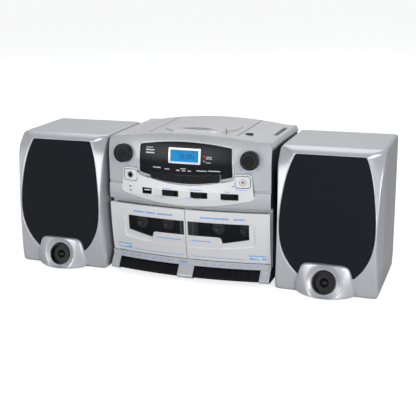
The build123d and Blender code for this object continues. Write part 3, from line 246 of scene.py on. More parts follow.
def lit_display():
    """Blue backlit screen, brighter in the middle, with two small lamps beside it in the same moulding."""
    material, tree, shader = new_material("lcd_glow")
    space = texture_space(tree)
    split = tree.nodes.new("ShaderNodeSeparateXYZ")
    tree.links.new(space, split.inputs["Vector"])
    glow = noise(tree, space, 40.0, 2.0)
    blue = ramp(tree, glow, (0.002, 0.19, 0.46), (0.006, 0.26, 0.58), (0.25, 0.75))
    lamp_side = tree.nodes.new("ShaderNodeMath")
    lamp_side.operation = "GREATER_THAN"
    lamp_side.inputs[1].default_value = 0.0255
    tree.links.new(split.outputs["X"], lamp_side.inputs[0])
    upper = tree.nodes.new("ShaderNodeMath")
    upper.operation = "GREATER_THAN"
    upper.inputs[1].default_value = 0.183
    tree.links.new(split.outputs["Z"], upper.inputs[0])
    lamps = tree.nodes.new("ShaderNodeMix")
    lamps.data_type = "RGBA"
    lamps.inputs["A"].default_value = (0.32, 0.32, 0.34, 1)
    lamps.inputs["B"].default_value = (0.85, 0.015, 0.01, 1)
    tree.links.new(upper.outputs[0], lamps.inputs["Factor"])
    both = tree.nodes.new("ShaderNodeMix")
    both.data_type = "RGBA"
    tree.links.new(lamp_side.outputs[0], both.inputs["Factor"])
    tree.links.new(blue, both.inputs["A"])
    tree.links.new(lamps.outputs["Result"], both.inputs["B"])
    tree.links.new(both.outputs["Result"], shader.inputs["Base Color"])
    tree.links.new(both.outputs["Result"], shader.inputs["Emission Color"])
    shader.inputs["Emission Strength"].default_value = 0.20
    shader.inputs["Roughness"].default_value = 0.4
    shader.inputs["Specular IOR Level"].default_value = 0.15
    return material


pane = smoked()
black_cloth = cloth()
lcd = lit_display()

finish = {
    silver: ["speaker_baffle_left", "speaker_baffle_right"],
    silver_fascia_shaded_ends: ["front_cabinet"],
    pale_silver: ["control_panel", "cassette_door_left", "cassette_door_right"],
    silver_top: ["top_cover", "cd_lid"],
    silver_box: ["speaker_cabinet_left", "speaker_cabinet_right"],
    charcoal: ["rear_cabinet", "battery_door"],
    gloss_black: ["display_panel"],
    bezel_silver: ["lcd_bezel"],
    lcd: ["lcd_screen"],
    satin_black: ["volume_knob", "tuning_knob", "function_switch", "band_switch", "mode_switch", "sockets",
                  "power_button", "speaker_drivers_left", "speaker_drivers_right"],
    deck_black: ["tape_mechanism", "cd_deck", "turntable", "cd_pickup"],
    reel_grey: [name for name in nodes if "_reel_" in name],
    pane: ["cassette_window_left", "cassette_window_right"],
    black_cloth: ["speaker_grille_left", "speaker_grille_right"],
    key_black: [name for name in nodes if name.endswith("_key") or name.startswith("cd_") and "button" in name],
    green_board: ["main_board"],
    steel: ["power_transformer", "case_screws"],
    chrome: ["antenna_lower", "antenna_upper"],
    rubber: ["rubber_feet"],
}
for material, names in finish.items():
    for name in names:
        slots = nodes[name].data.materials
        slots.clear()
        slots.append(material)


# ---------------------------------------------------------------- making pieces
ABOVE = 0.4                                                  # height rays start from, m
CLEAR = 0.2                                                  # distance in front of the set rays start from, m


def mesh_piece(name, points, faces, material, body, smooth=True):
    """A mesh object from points in metres, riding on a body."""
    mesh = bpy.data.meshes.new(name)
    mesh.from_pydata(points, [], faces)
    mesh.validate()
    mesh.update()
    piece = bpy.data.objects.new(name, mesh)
    bpy.context.scene.collection.objects.link(piece)
    mesh.materials.append(material)
    for polygon in mesh.polygons:
        polygon.use_smooth = smooth
    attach(piece, body)
    return piece


def trees_of(names):
    """Search trees of the named CAD nodes' meshes."""
    meshes = [nodes[name].data for name in names]
    return [BVHTree.FromPolygons([v.co for v in mesh.vertices], [p.vertices for p in mesh.polygons])
            for mesh in meshes]


def roof_of(*names):
    """Finds where a line from above meets the named CAD nodes."""
    trees = trees_of(names)

    def hit(x, y):
        best = None
        for tree in trees:
            place = tree.ray_cast(Vector((x, y, ABOVE)), Vector((0, 0, -1)))[0]
            if place and (best is None or place.z > best):
                best = place.z
        return best

    return hit


def roof_ribbon(name, roof, path, width, material, body, lift=0.00015):
    """A narrow line on a top surface along a path of (x, y) points in mm, y behind FRONT."""
    rows = []
    for i, here in enumerate(path):
        before = path[max(i - 1, 0)]
        after = path[min(i + 1, len(path) - 1)]
        dx, dy = after[0] - before[0], after[1] - before[1]
        length = math.hypot(dx, dy)
        nx, ny = -dy / length * width / 2, dx / length * width / 2
        row = []
        for side in (1, -1):
            x, y = (here[0] + side * nx) * MM, FRONT + (here[1] + side * ny) * MM
            z = roof(x, y)
            row.append(None if z is None else (x, y, z + lift))
        rows.append(row)
    return strip_mesh(name, rows, material, body)


def surface_of(*names):
    """Finds where a line from the listener meets the named CAD nodes."""
    trees = trees_of(names)

    def hit(x, z):
        best = None
        for tree in trees:
            place = tree.ray_cast(Vector((x, FRONT - CLEAR, z)), Vector((0, 1, 0)))[0]
            if place and (best is None or place.y < best):
                best = place.y
        return best

    return hit


def marks(name, surface, shapes, material, body, lift=0.00022):
    """Flat printed marks laid on a surface. A shape is (x0, z0, x1, z1) in mm, or that with a slope at the end."""
    points = []
    faces = []
    for shape in shapes:
        x0, z0, x1, z1 = shape[:4]
        slope = shape[4] if len(shape) > 4 else 0.0
        steps = max(1, int(abs(x1 - x0) / 4))
        columns = []
        for i in range(steps + 1):
            x = x0 + (x1 - x0) * i / steps
            rise = slope * i / steps
            column = []
            for z in (z0 + rise, z1 + rise):
                y = surface(x * MM, z * MM)
                if y is None:
                    column = None
                    break
                column.append(len(points))
                points.append((x * MM, y - lift, z * MM))
            columns.append(column)
        for a, b in zip(columns, columns[1:]):
            if a and b:
                faces.append((a[0], b[0], b[1], a[1]))
    return mesh_piece(name, points, faces, material, body, False)


def laid(surface, x, z, lift):
    """The place in metres of a point in mm on a surface, or None beside it."""
    y = surface(x * MM, z * MM)
    return None if y is None else (x * MM, y - lift, z * MM)


def strip_mesh(name, rows, material, body):
    """Quads between the two ends of each row of points; a row that misses the surface leaves a gap."""
    points = []
    faces = []
    previous = None
    for row in rows:
        if None in row:
            previous = None
            continue
        start = len(points)
        points.extend(row)
        if previous is not None:
            for i in range(len(row) - 1):
                faces.append((previous + i, start + i, start + i + 1, previous + i + 1))
        previous = start
    return mesh_piece(name, points, faces, material, body, False)


def ribbon(name, surface, path, width, material, body, lift=0.00015, closed=False):
    """A narrow painted line along a path of (x, z) points in mm."""
    rows = []
    count = len(path)
    for i in range(count + 1 if closed else count):
        here = path[i % count]
        before = path[(i - 1) % count] if closed or i else path[i]
        after = path[(i + 1) % count] if closed or i < count - 1 else path[i]
        dx, dz = after[0] - before[0], after[1] - before[1]
        length = math.hypot(dx, dz)
        nx, nz = -dz / length * width / 2, dx / length * width / 2
        rows.append([laid(surface, here[0] + nx, here[1] + nz, lift),
                     laid(surface, here[0] - nx, here[1] - nz, lift)])
    return strip_mesh(name, rows, material, body)


def patch(name, surface, x0, x1, low, high, material, body, steps=24, lift=0.00012):
    """A painted area between two heights that are functions of x."""
    rows = []
    for i in range(steps + 1):
        x = x0 + (x1 - x0) * i / steps
        z0, z1 = low(x), high(x)
        rows.append([laid(surface, x, z0 + (z1 - z0) * j / 3, lift) for j in range(4)])
    return strip_mesh(name, rows, material, body)


def rounded(x0, x1, z0, z1, radius, steps=5):
    """Points round a rectangle with rounded corners."""
    points = []
    for cx, cz, start in ((x1, z1, 0), (x0, z1, 90), (x0, z0, 180), (x1, z0, 270)):
        mx = cx - radius if cx == x1 else cx + radius
        mz = cz - radius if cz == z1 else cz + radius
        for i in range(steps + 1):
            a = math.radians(start + 90 * i / steps)
            points.append((mx + radius * math.cos(a), mz + radius * math.sin(a)))
    return points


def circle_path(x, z, radius, step):
    """Points round a circle, one every step degrees."""
    return [(x + radius * math.cos(math.radians(a)), z + radius * math.sin(math.radians(a)))
            for a in range(0, 360, step)]


def dashes(x0, x1, z, height, lengths, gap=0.9, slope=0.0):
    """A row of short bars of different lengths, in place of a label."""
    row = []
    x = x0
    i = 0
    while x < x1 - 0.4:
        end = min(x + lengths[i % len(lengths)], x1)
        at = slope * (x - x0) / max(x1 - x0, 0.01)
        row.append((x, z + at, end, z + at + height))
        x = end + gap
        i += 1
    return row


# ---------------------------------------------------------------- speakers
GRILLE_EDGE = [(27.5, 40.0), (30, 42.1), (36, 48.0), (46, 55.2), (60, 61.8), (75, 65.7), (92, 67.2), (110, 66.8),
               (129, 65.1), (147, 62.6), (161, 60.1), (173, 57.2), (182, 54.2), (188, 51.9), (191, 50.6), (193, 49.6),
               (194.3, 48.6), (195, 47.0)]
HALF = 72.95
TOP = 203.6
CORNER = 4.5                                              # rounding of a speaker's top corners
ROLL_FOOT = 195                                            # height where a speaker's front rolls over to its top
ROLL_BACK = 13.3                                          # depth where the roll meets the top, behind FRONT
ROLL_DEPTH = 17.2
ROLL_HEIGHT = 8.6
CLOTH_CORNER = 49.0                                       # half width of the cloth at its top corners
OUTER_Z = [1.5, 6, 15, 30, 50, 70, 90, 110, 130, 150, 165, 178, 186, 192, 196.5, 199.1, "arc", "top"]


def front_y(z):
    """Depth of a speaker's front at a height, in mm behind FRONT."""
    if z <= ROLL_FOOT:
        t = (z - 100) / 100
        return -22.8 + 8.93 * t + 11.53 * t * t
    return ROLL_BACK - ROLL_DEPTH * math.sqrt(max(0.0, 1 - ((z - ROLL_FOOT) / ROLL_HEIGHT) ** 2))


def facet_edge(z):
    """Half width of a speaker's front where its side starts."""
    return min(HALF, 69.2 + (z - 95) ** 2 / 1900)


def outer_corner(key):
    """Half width and height of a point on a speaker's outline, with the top corner rounded off."""
    if key == "arc":
        return HALF - CORNER * (1 - math.cos(math.radians(45))), TOP - CORNER * (1 - math.sin(math.radians(45)))
    if key == "top":
        return HALF - CORNER, TOP
    return HALF, key if key > 2 else 0.0


def mitre(share):
    """A point on the crease between a side facet and the rolled top, from the cloth (0) to the corner (1)."""
    a = math.radians(90 * share)
    reach = CLOTH_CORNER + (HALF - CORNER - CLOTH_CORNER) * share
    return reach, ROLL_BACK - ROLL_DEPTH * math.cos(a), ROLL_FOOT + ROLL_HEIGHT * math.sin(a)


def lean(z):
    """How far the facet's outer edge falls back from the roll near the top."""
    return ROLL_DEPTH * max(0.0, (z - 176) / 27.6) ** 2


def speaker_ring(kind):
    """One closed loop round a speaker's front: up the left, over the top, down the right, back at the bottom."""
    side = []
    for (z, w), outer in zip(GRILLE_EDGE, OUTER_Z):
        corner_u, corner_z = outer_corner(outer)
        e = min(facet_edge(corner_z), corner_u)
        slant = 0.06 * (e - w)
        if kind == "pocket":
            side.append((w - 0.3, front_y(z) + 7.0, z))
        elif kind == "inner":
            side.append((w, front_y(z) + 0.5, z))
        elif kind == "lip":
            side.append((w + 0.9, front_y(z) - 0.1, z + (0.9 if z > 190 else 0)))
        elif kind == "middle":
            if outer == "top":
                side.append(mitre(0.5))
            elif outer == "arc":
                side.append((62.0, 1.6, 200.2))
            else:
                depth = (front_y(z) + front_y(min(corner_z, ROLL_FOOT)) + slant + lean(corner_z)) / 2 + 0.3
                side.append(((w + 0.9 + e) / 2, depth, (z + 0.9 + corner_z) / 2))
        elif kind == "edge":
            depth = front_y(min(corner_z, ROLL_FOOT)) + slant * min(1.0, (TOP - corner_z) / 13.6) + lean(corner_z)
            side.append((e, depth, corner_z))
        elif kind == "side":
            side.append((corner_u, 20.5, corner_z))
        elif kind == "join":
            side.append((corner_u, 24.0, corner_z))
        elif kind == "return":
            side.append((HALF - 4.0 - (2.0 if outer == "top" else 0), 24.0, min(max(corner_z, 4.0), 199.2)))
    loop = [(-u, y, z) for u, y, z in side]
    u, y, z = side[-1]
    count = 12
    for i in range(1, count):
        loop.append((-u + 2 * u * i / count, y, z))
    loop += [(u, y, z) for u, y, z in reversed(side)]
    u, y, z = side[0]
    for i in range(1, count):
        loop.append((u - 2 * u * i / count, y, z))
    return loop


def speaker_front(side):
    """The sculpted silver frame round a speaker's cloth."""
    centre = sum((Vector(c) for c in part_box("speaker_cabinet_" + side)), Vector()) / 2
    rings = [speaker_ring(kind) for kind in ("pocket", "inner", "lip", "middle", "edge", "side", "join", "return")]
    count = len(rings[0])
    points = []
    for ring in rings:
        points += [(centre.x + u * MM, FRONT + y * MM, z * MM) for u, y, z in ring]
    faces = []
    for r in range(len(rings) - 1):
        for i in range(count):
            j = (i + 1) % count
            faces.append((r * count + i, (r + 1) * count + i, (r + 1) * count + j, r * count + j))
    piece = mesh_piece("speaker_front_" + side, points, faces, silver, "speaker_" + side)
    mesh = piece.data
    crease = mesh.attributes.new("crease_edge", "FLOAT", "EDGE")
    corner = len(GRILLE_EDGE) - 1
    corners = {corner, corner + 12}
    for edge in mesh.edges:
        a, b = edge.vertices
        ring_a, ring_b = a // count, b // count
        if ring_a == ring_b:
            crease.data[edge.index].value = {1: 0.6, 2: 0.55, 4: 0.72, 6: 1.0}.get(ring_a, 0.0)
        elif a % count in corners and {ring_a, ring_b} in ({2, 3}, {3, 4}):
            crease.data[edge.index].value = 0.6
        elif a % count in corners:
            crease.data[edge.index].value = 0.3
    modifier = piece.modifiers.new("smooth", "SUBSURF")
    modifier.levels = 2
    modifier.render_levels = 2
    return piece, centre


def speaker_cloth(side, centre):
    """The stretched cloth, tucked in along its edge."""
    rows = []
    columns = 22
    for z, w in GRILLE_EDGE:
        row = []
        for i in range(columns + 1):
            s = -1 + 2 * i / columns
            tuck = 1.5 * max(0.0, (abs(s) - 0.94) / 0.06) ** 2
            row.append(((w - 0.1) * s, front_y(z) + 0.9 + tuck, z))
        rows.append(row)
    points = [(centre.x + u * MM, FRONT + y * MM, z * MM) for row in rows for u, y, z in row]
    faces = []
    width = columns + 1
    for r in range(len(rows) - 1):
        for i in range(columns):
            faces.append((r * width + i, r * width + i + 1, (r + 1) * width + i + 1, (r + 1) * width + i))
    piece = mesh_piece("speaker_cloth_" + side, points, faces, black_cloth, "speaker_" + side)
    modifier = piece.modifiers.new("smooth", "SUBSURF")
    modifier.levels = 1
    modifier.render_levels = 1
    return piece


TWEETER_Z = 22.0
HOUSING_TOP = 46.5                                        # height of the tweeter housing
HOUSING_HALF = 45.5                                       # its half width at the bottom
HOUSING_FLARE = 12.0                                      # how much less half width it has at the top


def housing_depth(u, z):
    """Front of the tweeter housing, in mm behind FRONT."""
    t = z / HOUSING_TOP
    middle = -40.6 * (1 - t) - 29.5 * t - 1.2 * math.sin(math.pi * min(max(t, 0), 1))
    return middle + (0.0097 * (1 - 0.62 * t)) * u * u


def housing_outline(angle):
    """Distance from the tweeter's centre to the housing's rounded outline at an angle from +X."""
    c, s = math.cos(angle), math.sin(angle)
    limits = []
    if s > 1e-6:
        limits.append((HOUSING_TOP - TWEETER_Z) / s)
    if s < -1e-6:
        limits.append((TWEETER_Z - 0.6) / -s)
    for sign in (-1, 1):
        slope = -HOUSING_FLARE / HOUSING_TOP
        denominator = sign * c - slope * s
        if denominator > 1e-6:
            limits.append((HOUSING_HALF + slope * TWEETER_Z) / denominator)
    power = 9.0
    return sum(limit ** -power for limit in limits) ** (-1 / power)


def tweeter_housing(side, centre):
    """The housing under the cloth, with its dished tweeter mouth."""
    segments = 48
    rings = []
    for radius, depth in ((15.6, 12.0), (15.9, 6.4), (16.7, 5.4), (19.5, 4.2), (22.5, 2.0)):
        ring = []
        for i in range(segments):
            a = 2 * math.pi * i / segments
            reach = min(radius, housing_outline(a) * (0.78 + 0.008 * radius))
            u, z = reach * math.cos(a), TWEETER_Z + reach * math.sin(a)
            ring.append((u, housing_depth(u, z) + depth, z))
        rings.append(ring)
    for share, depth in ((0.0, 0.25), (0.45, 0.0), (0.9, 0.0)):
        ring = []
        for i in range(segments):
            a = 2 * math.pi * i / segments
            outer = housing_outline(a)
            inner = min(25.0, outer * 0.955)
            reach = inner + (outer - inner) * share
            u, z = reach * math.cos(a), TWEETER_Z + reach * math.sin(a)
            ring.append((u, housing_depth(u, z) + depth, z))
        rings.append(ring)
    for back, grow in ((1.4, 1.0), (6.0, 1.006), (30.0, 1.02)):
        ring = []
        for i in range(segments):
            a = 2 * math.pi * i / segments
            reach = housing_outline(a) * grow
            u, z = reach * math.cos(a), TWEETER_Z + reach * math.sin(a)
            ring.append((u, min(housing_depth(u, z) + back, 5.0), max(z, 0.0)))
        rings.append(ring)
    points = [(centre.x + u * MM, FRONT + y * MM, z * MM) for ring in rings for u, y, z in ring]
    faces = []
    for r in range(len(rings) - 1):
        for i in range(segments):
            j = (i + 1) % segments
            faces.append((r * segments + i, r * segments + j, (r + 1) * segments + j, (r + 1) * segments + i))
    piece = mesh_piece("tweeter_housing_" + side, points, faces, silver, "speaker_" + side)
    modifier = piece.modifiers.new("smooth", "SUBSURF")
    modifier.levels = 2
    modifier.render_levels = 2
    return piece


for side in SIDES:
    frame_piece, centre = speaker_front(side)
    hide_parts("speaker_baffle_" + side)
    cloth_piece = speaker_cloth(side, centre)
    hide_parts("speaker_grille_" + side)
    tweeter_housing(side, centre)

# ---------------------------------------------------------------- printed marks
fascia = surface_of("front_cabinet", "control_panel")
panel = surface_of("display_panel")
island = surface_of("control_panel", "front_cabinet")
left_door = surface_of("cassette_door_left")
right_door = surface_of("cassette_door_right")

marks("fascia_marks", fascia,
      dashes(-101.5, -92.5, 166.3, 1.3, (2.6, 1.7, 3.1)) + dashes(89.0, 101.0, 165.2, 1.4, (2.2, 1.5, 2.8))
      + [(82.0, 168.8, 84.0, 170.3), (106.0, 168.0, 108.0, 169.4)],
      print_blue, "centre_unit")
marks("island_marks", island,
      dashes(-33.5, -21.5, 136.4, 1.2, (2.4, 1.6, 3.0)) + dashes(-47.0, -27.0, 124.4, 1.1, (3.0, 2.0, 1.5))
      + dashes(-38.0, -30.0, 121.9, 1.1, (2.4, 1.6)) + dashes(-61.0, -57.0, 124.2, 1.1, (1.2, 1.2), 0.5)
      + dashes(7.5, 27.0, 137.4, 1.2, (2.6, 1.5, 2.0)) + dashes(0.5, 9.0, 124.6, 1.1, (2.5, 1.6))
      + dashes(13.8, 23.0, 124.6, 1.1, (2.0, 1.4)) + dashes(61.0, 68.5, 137.2, 1.2, (1.8, 1.5))
      + dashes(49.5, 53.0, 124.4, 1.1, (1.6, 1.2)) + dashes(56.5, 64.5, 124.4, 1.1, (2.2, 1.4))
      + [(70.8, 145.2, 73.8, 146.8), (77.5, 140.6, 79.5, 142.0)] + dashes(81.5, 93.5, 140.4, 1.1, (2.4, 1.6)),
      print_blue, "centre_unit")
marks("island_dark_marks", island, [(-89.0, 134.2, -86.0, 136.4), (-88.4, 128.6, -85.4, 130.2)],
      print_and_shade_dark, "centre_unit")
marks("panel_marks", panel,
      dashes(-60.5, -49.0, 194.2, 1.2, (2.2, 1.4, 3.0), 0.6)
      + dashes(-60.8, -47.2, 190.4, 1.7, (5.5, 3.5, 4.0), 0.4)
      + dashes(-60.8, -47.2, 186.4, 1.7, (4.0, 5.0, 4.5), 0.4)
      + dashes(33.0, 41.0, 185.3, 1.1, (2.0, 2.6), 0.5) + dashes(33.0, 41.0, 182.9, 1.1, (2.6, 2.0), 0.5)
      + dashes(33.0, 40.0, 177.2, 1.0, (2.0, 1.6), 0.5)
      + dashes(-49.5, -37.4, 165.9, 1.3, (2.6, 1.8, 2.2), 0.4) + dashes(-30.7, -23.2, 164.6, 1.3, (2.0, 1.6), 0.4)
      + [(-12.4, 163.6, -10.2, 165.1), (-9.8, 163.6, -7.4, 165.1)] + dashes(-6.0, 2.0, 166.6, 1.2, (2.0, 1.6), 0.4)
      + [(-3.6, 163.4, -1.4, 165.0), (-0.9, 163.4, 1.2, 165.0)] + [(4.8, 163.6, 6.9, 165.1), (7.3, 163.6, 9.5, 165.1)]
      + dashes(18.6, 33.8, 164.8, 1.3, (2.2, 2.8, 1.6), 0.4)
      + dashes(36.2, 53.2, 165.4, 1.3, (2.6, 1.8, 2.4), 0.4),
      print_and_highlight_white, "centre_unit")
marks("left_door_marks", left_door,
      dashes(-84.0, -65.0, 96.2, 2.3, (3.0, 2.4, 3.6), 0.7) + dashes(-62.5, -47.0, 96.2, 2.3, (2.6, 3.4, 3.0), 0.7)
      + dashes(-43.5, -19.5, 96.2, 2.3, (3.4, 2.6, 3.2), 0.7)
      + dashes(-115.0, -92.0, 41.6, 2.2, (3.6, 3.0, 4.2), 0.8) + [(-115.8, 36.4, -92.0, 39.6)]
      + dashes(-87.0, -4.5, 36.0, 0.8, (16.0, 9.0, 12.0), 0.9)
      + dashes(-47.5, -8.0, 60.0, 1.4, (4.6, 3.0, 5.4), 0.8),
      print_blue, "cassette_door_left")
marks("right_door_marks", right_door,
      dashes(23.5, 66.0, 96.2, 2.3, (3.2, 2.6, 3.6), 1.0) + dashes(73.3, 89.8, 96.2, 2.3, (3.0, 2.4), 1.2)
      + dashes(94.2, 117.5, 41.6, 2.0, (3.8, 3.0, 4.2), 0.8) + [(94.2, 36.8, 118.0, 39.8)]
      + dashes(7.0, 88.0, 36.0, 0.8, (14.0, 10.0, 12.0), 0.9) + dashes(9.0, 38.8, 60.4, 1.4, (4.6, 3.2, 5.0), 0.8),
      print_blue, "cassette_door_right")
marks("strip_marks", fascia,
      dashes(-110.0, -14.0, 25.7, 1.0, (9.0, 6.0, 11.0, 7.0), 5.0) + [(-12.5, 25.0, 1.0, 27.3)]
      + dashes(25.0, 108.0, 25.7, 1.0, (8.0, 6.0, 10.0), 5.0),
      print_blue, "centre_unit")

# ---------------------------------------------------------------- lines, seams and small fittings
# Painted shade: dark outlines in the grooves round the two socket plates, and painted shadow along the raised
# island's edges and under its foot.
for side, sign in SIDES.items():
    ring = rounded(sign * 86.2 - 10.8, sign * 86.2 + 10.8, 144.0, 160.8, 3.6)
    ribbon("plate_outline_" + side, island, ring, 0.9, print_and_shade_dark, "centre_unit", closed=True)
    edge = [(sign * 102.3, 132.0), (sign * 101.4, 140.0), (sign * 99.6, 154.0), (sign * 99.2, 160.0),
            (sign * 97.0, 163.3), (sign * 92.0, 164.1), (sign * 80.0, 164.1), (sign * 76.2, 163.4)]
    ribbon("island_edge_shadow_" + side, fascia, edge, 0.8, painted_shade_silver, "centre_unit")
bottom = [(x, 113.5 + 13.5 * (x / 102.5) ** 2 - 0.4) for x in range(-102, 103, 4)]
ribbon("island_foot_shadow", fascia, bottom, 0.7, painted_shade_silver, "centre_unit")
# Painted highlight: a pale band along the lip round the display.
lip = [(x, 206.3 - 6.2 * (x / 70.0) ** 2) for x in range(-68, 69, 4)]
ribbon("display_lip_highlight_top", fascia, lip, 1.9, bezel_silver, "centre_unit")
for side, sign in SIDES.items():
    path = [(sign * 68.0, 200.6), (sign * 70.4, 199.9), (sign * 71.35, 197.5), (sign * 72.0, 180.0),
            (sign * 72.7, 160.5)]
    ribbon("display_lip_highlight_" + side, fascia, path, 1.9, bezel_silver, "centre_unit")


def crescent_low(x):
    return 143.9 + 10.6 * (x / 74.5) ** 2


def crescent_high(x):
    return 146.0 + 9.6 * (x / 74.5) ** 2


# Painted shade: grey patches at both ends of the recess under the disc buttons.
for side, sign in SIDES.items():
    patch("crescent_" + side, fascia, sign * 54.6, sign * 73.0, crescent_low, crescent_high,
          painted_shade_silver, "centre_unit")

# Painted highlight: two lighter grey rings on each knob's dark face.
for side, sign in SIDES.items():
    name = "volume_knob" if side == "left" else "tuning_knob"
    low, high = (Vector(c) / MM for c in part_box(name))
    middle = (low + high) / 2
    reach = (high.x - low.x) / 2
    for part, share, width in (("cap", 0.66, 0.7), ("rim", 0.9, 0.5)):
        circle = circle_path(middle.x, middle.z, reach * share, 12)
        ribbon("knob_" + part + "_" + side, surface_of(name), circle, width, knob_highlight_grey, name,
               closed=True)

roof = roof_of("cd_lid")
# Painted shade: a dark line in the arc slit on the disc lid.
slit = [(51 - 5.5 * t - 4.0 * t * t, 17.5 + 27 * t) for t in (0, 0.2, 0.4, 0.6, 0.8, 1.0)]
roof_ribbon("lid_slit", roof, slit, 1.5, print_and_shade_dark, "cd_lid")


def above(surface, x, y, lift):
    """The place in metres of a point (x, y) in mm, y behind FRONT, on a top surface."""
    z = surface(x * MM, FRONT + y * MM)
    return None if z is None else (x * MM, FRONT + y * MM, z + lift)


# Painted shade: a dark grey lens in the finger recess on the disc lid.
lens = []
for i in range(25):
    x = -28.0 + 56.0 * i / 24
    bow = 1 - (x / 29) ** 2
    lens.append([above(roof, x, 31 - 6.6 * bow + 15.2 * bow * j / 4, 0.00012) for j in range(5)])
strip_mesh("lid_recess_shade", lens, recess_shade_grey, "cd_lid")
cover = roof_of("top_cover")
# Painted shade: dark lines along the seams beside the disc lid.
for side, sign in SIDES.items():
    seam = [(sign * 67.95, 16.5 + 128.0 * t / 20) for t in range(21)]
    roof_ribbon("lid_seam_" + side, cover, seam, 1.0, print_and_shade_dark, "centre_unit")
# Painted shade: a grey line along the seam between the top cover and the front.
front_seam = []
for i in range(61):
    x = -122.0 + 244.0 * i / 60
    z = 206 + 8.7 * max(0.0, 1 - (x / 105) ** 2)
    front_seam.append((x, -16.6 + (z - 196) * 0.43 + bow_depth(x) + 3.6))
roof_ribbon("top_front_seam", roof_of("top_cover", "front_cabinet"), front_seam, 0.9, painted_shade_silver, "centre_unit")

# Screen digits: a clock read-out in seven-segment figures, a little darker than the screen.
SEGMENTS = {"0": "abcdef", "1": "bc", "2": "abged", "3": "abgcd", "4": "fgbc", "5": "afgcd"}
digit_ink = plain("digit_ink", (0.004, 0.075, 0.22), (0.006, 0.09, 0.25), (0.4, 0.5), relief=0.02, specular=0.15)


def digit(figure, x, z, width, height):
    """Bars of a seven-segment figure as (x0, z0, x1, z1) with its lower left corner at (x, z)."""
    t = 0.8
    half = height / 2
    bars = {"a": (x, z + height - t, x + width, z + height), "d": (x, z, x + width, z + t),
            "g": (x, z + half - t / 2, x + width, z + half + t / 2),
            "f": (x, z + half, x + t, z + height), "e": (x, z, x + t, z + half),
            "b": (x + width - t, z + half, x + width, z + height), "c": (x + width - t, z, x + width, z + half)}
    return [bars[key] for key in SEGMENTS[figure]]


figures = []
for figure, x in zip("12", (-9.0, -4.0)):
    figures += digit(figure, x, 181.8, 3.4, 6.6)
figures += [(0.6, 183.4, 1.3, 184.2), (0.6, 186.2, 1.3, 187.0)]
for figure, x in zip("30", (2.6, 7.6)):
    figures += digit(figure, x, 181.8, 3.4, 6.6)
figures += digit("2", 12.8, 181.8, 2.2, 4.0) + [(11.5, 190.3, 14.5, 191.2)]
marks("screen_digits", surface_of("lcd_screen"), figures, digit_ink, "centre_unit")

# Painted highlights: a bright tip and a thin bright ring on each of the four reel spindles.
for name in finish[reel_grey]:
    low, high = (Vector(c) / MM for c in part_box(name))
    middle = (low + high) / 2
    for part, radius, width in (("tip", 1.1, 1.5), ("ring", 4.6, 0.5)):
        circle = circle_path(middle.x, middle.z, radius, 20)
        ribbon(name + "_" + part, surface_of(name), circle, width, print_and_highlight_white, name, closed=True)

# Pale tongue in the USB socket, and painted shade round the microphone and the headphone jack: a grey ring and a dark
# rim on each.
x, z = -59.0, 131.0
tongue = [(x - 4.6, FRONT / MM - 20.3, z + 0.2), (x + 4.6, FRONT / MM - 20.3, z + 0.2),
          (x + 4.6, FRONT / MM - 20.3, z + 1.9), (x - 4.6, FRONT / MM - 20.3, z + 1.9)]
points = [(a * MM, b * MM, c * MM) for a, b, c in tongue] + [(a * MM, (b + 8) * MM, c * MM) for a, b, c in tongue]
faces = [(0, 1, 2, 3), (7, 6, 5, 4), (0, 4, 5, 1), (1, 5, 6, 2), (2, 6, 7, 3), (3, 7, 4, 0)]
tongue_piece = mesh_piece("usb_tongue", points, faces, bezel_silver, "centre_unit", False)
edges = tongue_piece.modifiers.new("edges", "BEVEL")
edges.width = 0.0002
edges.segments = 2
for name, radius, width, ink in (("microphone_ring", 4.6, 0.7, painted_shade_silver),
                                 ("microphone_rim", 1.7, 0.8, print_and_shade_dark)):
    circle = circle_path(86.3, 152, radius, 15)
    ribbon(name, island, circle, width, ink, "centre_unit", closed=True)
socket_face = surface_of("sockets", "control_panel", "front_cabinet")
for name, radius, width, ink in (("jack_ring", 4.9, 0.6, painted_shade_silver), ("jack_rim", 3.6, 0.9, print_and_shade_dark)):
    circle = circle_path(-87, 152.3, radius, 15)
    ribbon(name, socket_face, circle, width, ink, "centre_unit", closed=True)

# ---------------------------------------------------------------- room
floor_mesh = bpy.data.meshes.new("floor")
floor_mesh.from_pydata([(-40, -40, 0), (40, -40, 0), (40, 60, 0), (-40, 60, 0)], [], [(0, 1, 2, 3)])
floor = bpy.data.objects.new("floor", floor_mesh)
bpy.context.scene.collection.objects.link(floor)


def floor_paper():
    """Pale paper: the camera sees it lit through, while the object meets a plain grey sheet."""
    material, tree, shader = new_material("floor_paper")
    grain = noise(tree, texture_space(tree), 30.0)
    tree.links.new(ramp(tree, grain, (0.70, 0.70, 0.70), (0.72, 0.72, 0.72)), shader.inputs["Base Color"])
    shader.inputs["Roughness"].default_value = 0.9
    shader.inputs["Emission Color"].default_value = (1, 1, 1, 1)
    shader.inputs["Emission Strength"].default_value = 0.70
    grey = tree.nodes.new("ShaderNodeBsdfDiffuse")
    grey.inputs["Color"].default_value = (0.46, 0.46, 0.47, 1)
    mix = tree.nodes.new("ShaderNodeMixShader")
    tree.links.new(tree.nodes.new("ShaderNodeLightPath").outputs["Is Camera Ray"], mix.inputs["Fac"])
    tree.links.new(grey.outputs["BSDF"], mix.inputs[1])
    tree.links.new(shader.outputs["BSDF"], mix.inputs[2])
    tree.links.new(mix.outputs["Shader"], tree.nodes["Material Output"].inputs["Surface"])
    return material


floor_mesh.materials.append(floor_paper())

world = bpy.data.worlds.new("room")
bpy.context.scene.world = world
world.use_nodes = True
world_tree = world.node_tree
direction = world_tree.nodes.new("ShaderNodeTexCoord").outputs["Generated"]
split = world_tree.nodes.new("ShaderNodeSeparateXYZ")
world_tree.links.new(direction, split.inputs["Vector"])


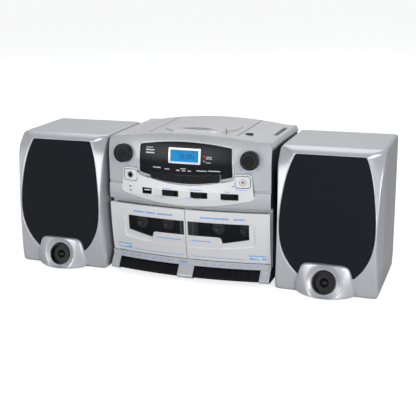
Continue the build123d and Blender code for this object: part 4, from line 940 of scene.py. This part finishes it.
def weigh(value, factor, plus):
    """value * factor + plus, for the room's brightness."""
    node = world_tree.nodes.new("ShaderNodeMath")
    node.operation = "MULTIPLY_ADD"
    node.inputs[1].default_value = factor
    world_tree.links.new(value, node.inputs[0])
    if isinstance(plus, float):
        node.inputs[2].default_value = plus
    else:
        world_tree.links.new(plus, node.inputs[2])
    return node.outputs[0]


# Brighter behind, above and to the left, as in a studio with a lit backdrop.
level = weigh(split.outputs["X"], -0.04, 0.29)
level = weigh(split.outputs["Y"], 0.34, level)
level = weigh(split.outputs["Z"], 0.06, level)
# The backdrop itself looks pale from every side.
level = weigh(world_tree.nodes.new("ShaderNodeLightPath").outputs["Is Camera Ray"], 0.62, level)
world_tree.nodes["Background"].inputs["Color"].default_value = (0.97, 0.98, 1.0, 1)
world_tree.links.new(level, world_tree.nodes["Background"].inputs["Strength"])


def lamp(name, place, target, size, power, shape="RECTANGLE", height=None):
    light = bpy.data.lights.new(name, "AREA")
    light.shape = shape
    light.size = size
    light.size_y = height or size
    light.energy = power
    piece = bpy.data.objects.new(name, light)
    bpy.context.scene.collection.objects.link(piece)
    piece.location = place
    piece.rotation_euler = (Vector(target) - Vector(place)).to_track_quat("-Z", "Y").to_euler()
    return piece


lamp("key", (-0.9, -2.3, 0.5), (0, 0, 0.1), 1.4, 25)
lamp("fill", (1.6, -1.9, 0.5), (0, 0, 0.1), 1.4, 42)
lamp("top", (-0.5, 1.5, 2.1), (0, 0, 0.1), 1.8, 15)

# ---------------------------------------------------------------- camera
camera_data = bpy.data.cameras.new("camera")
camera = bpy.data.objects.new("camera", camera_data)
bpy.context.scene.collection.objects.link(camera)
yaw, pitch, roll = math.radians(20.281), math.radians(16.371), math.radians(-1.125)
forward = Vector((-math.sin(yaw) * math.cos(pitch), math.cos(yaw) * math.cos(pitch), -math.sin(pitch)))
across = Vector((math.cos(yaw), math.sin(yaw), 0))
upward = across.cross(forward)
right = math.cos(roll) * across + math.sin(roll) * upward
up = -math.sin(roll) * across + math.cos(roll) * upward
turn = Matrix((right, up, -forward)).transposed()
camera.matrix_world = Matrix.Translation(Vector((0.4267, -1.0803 + FRONT, 0.4440))) @ turn.to_4x4()
camera_data.lens = 71.24
camera_data.sensor_width = 36.0
camera_data.clip_end = 20.0
bpy.context.scene.camera = camera
bpy.context.scene.view_settings.view_transform = "Standard"
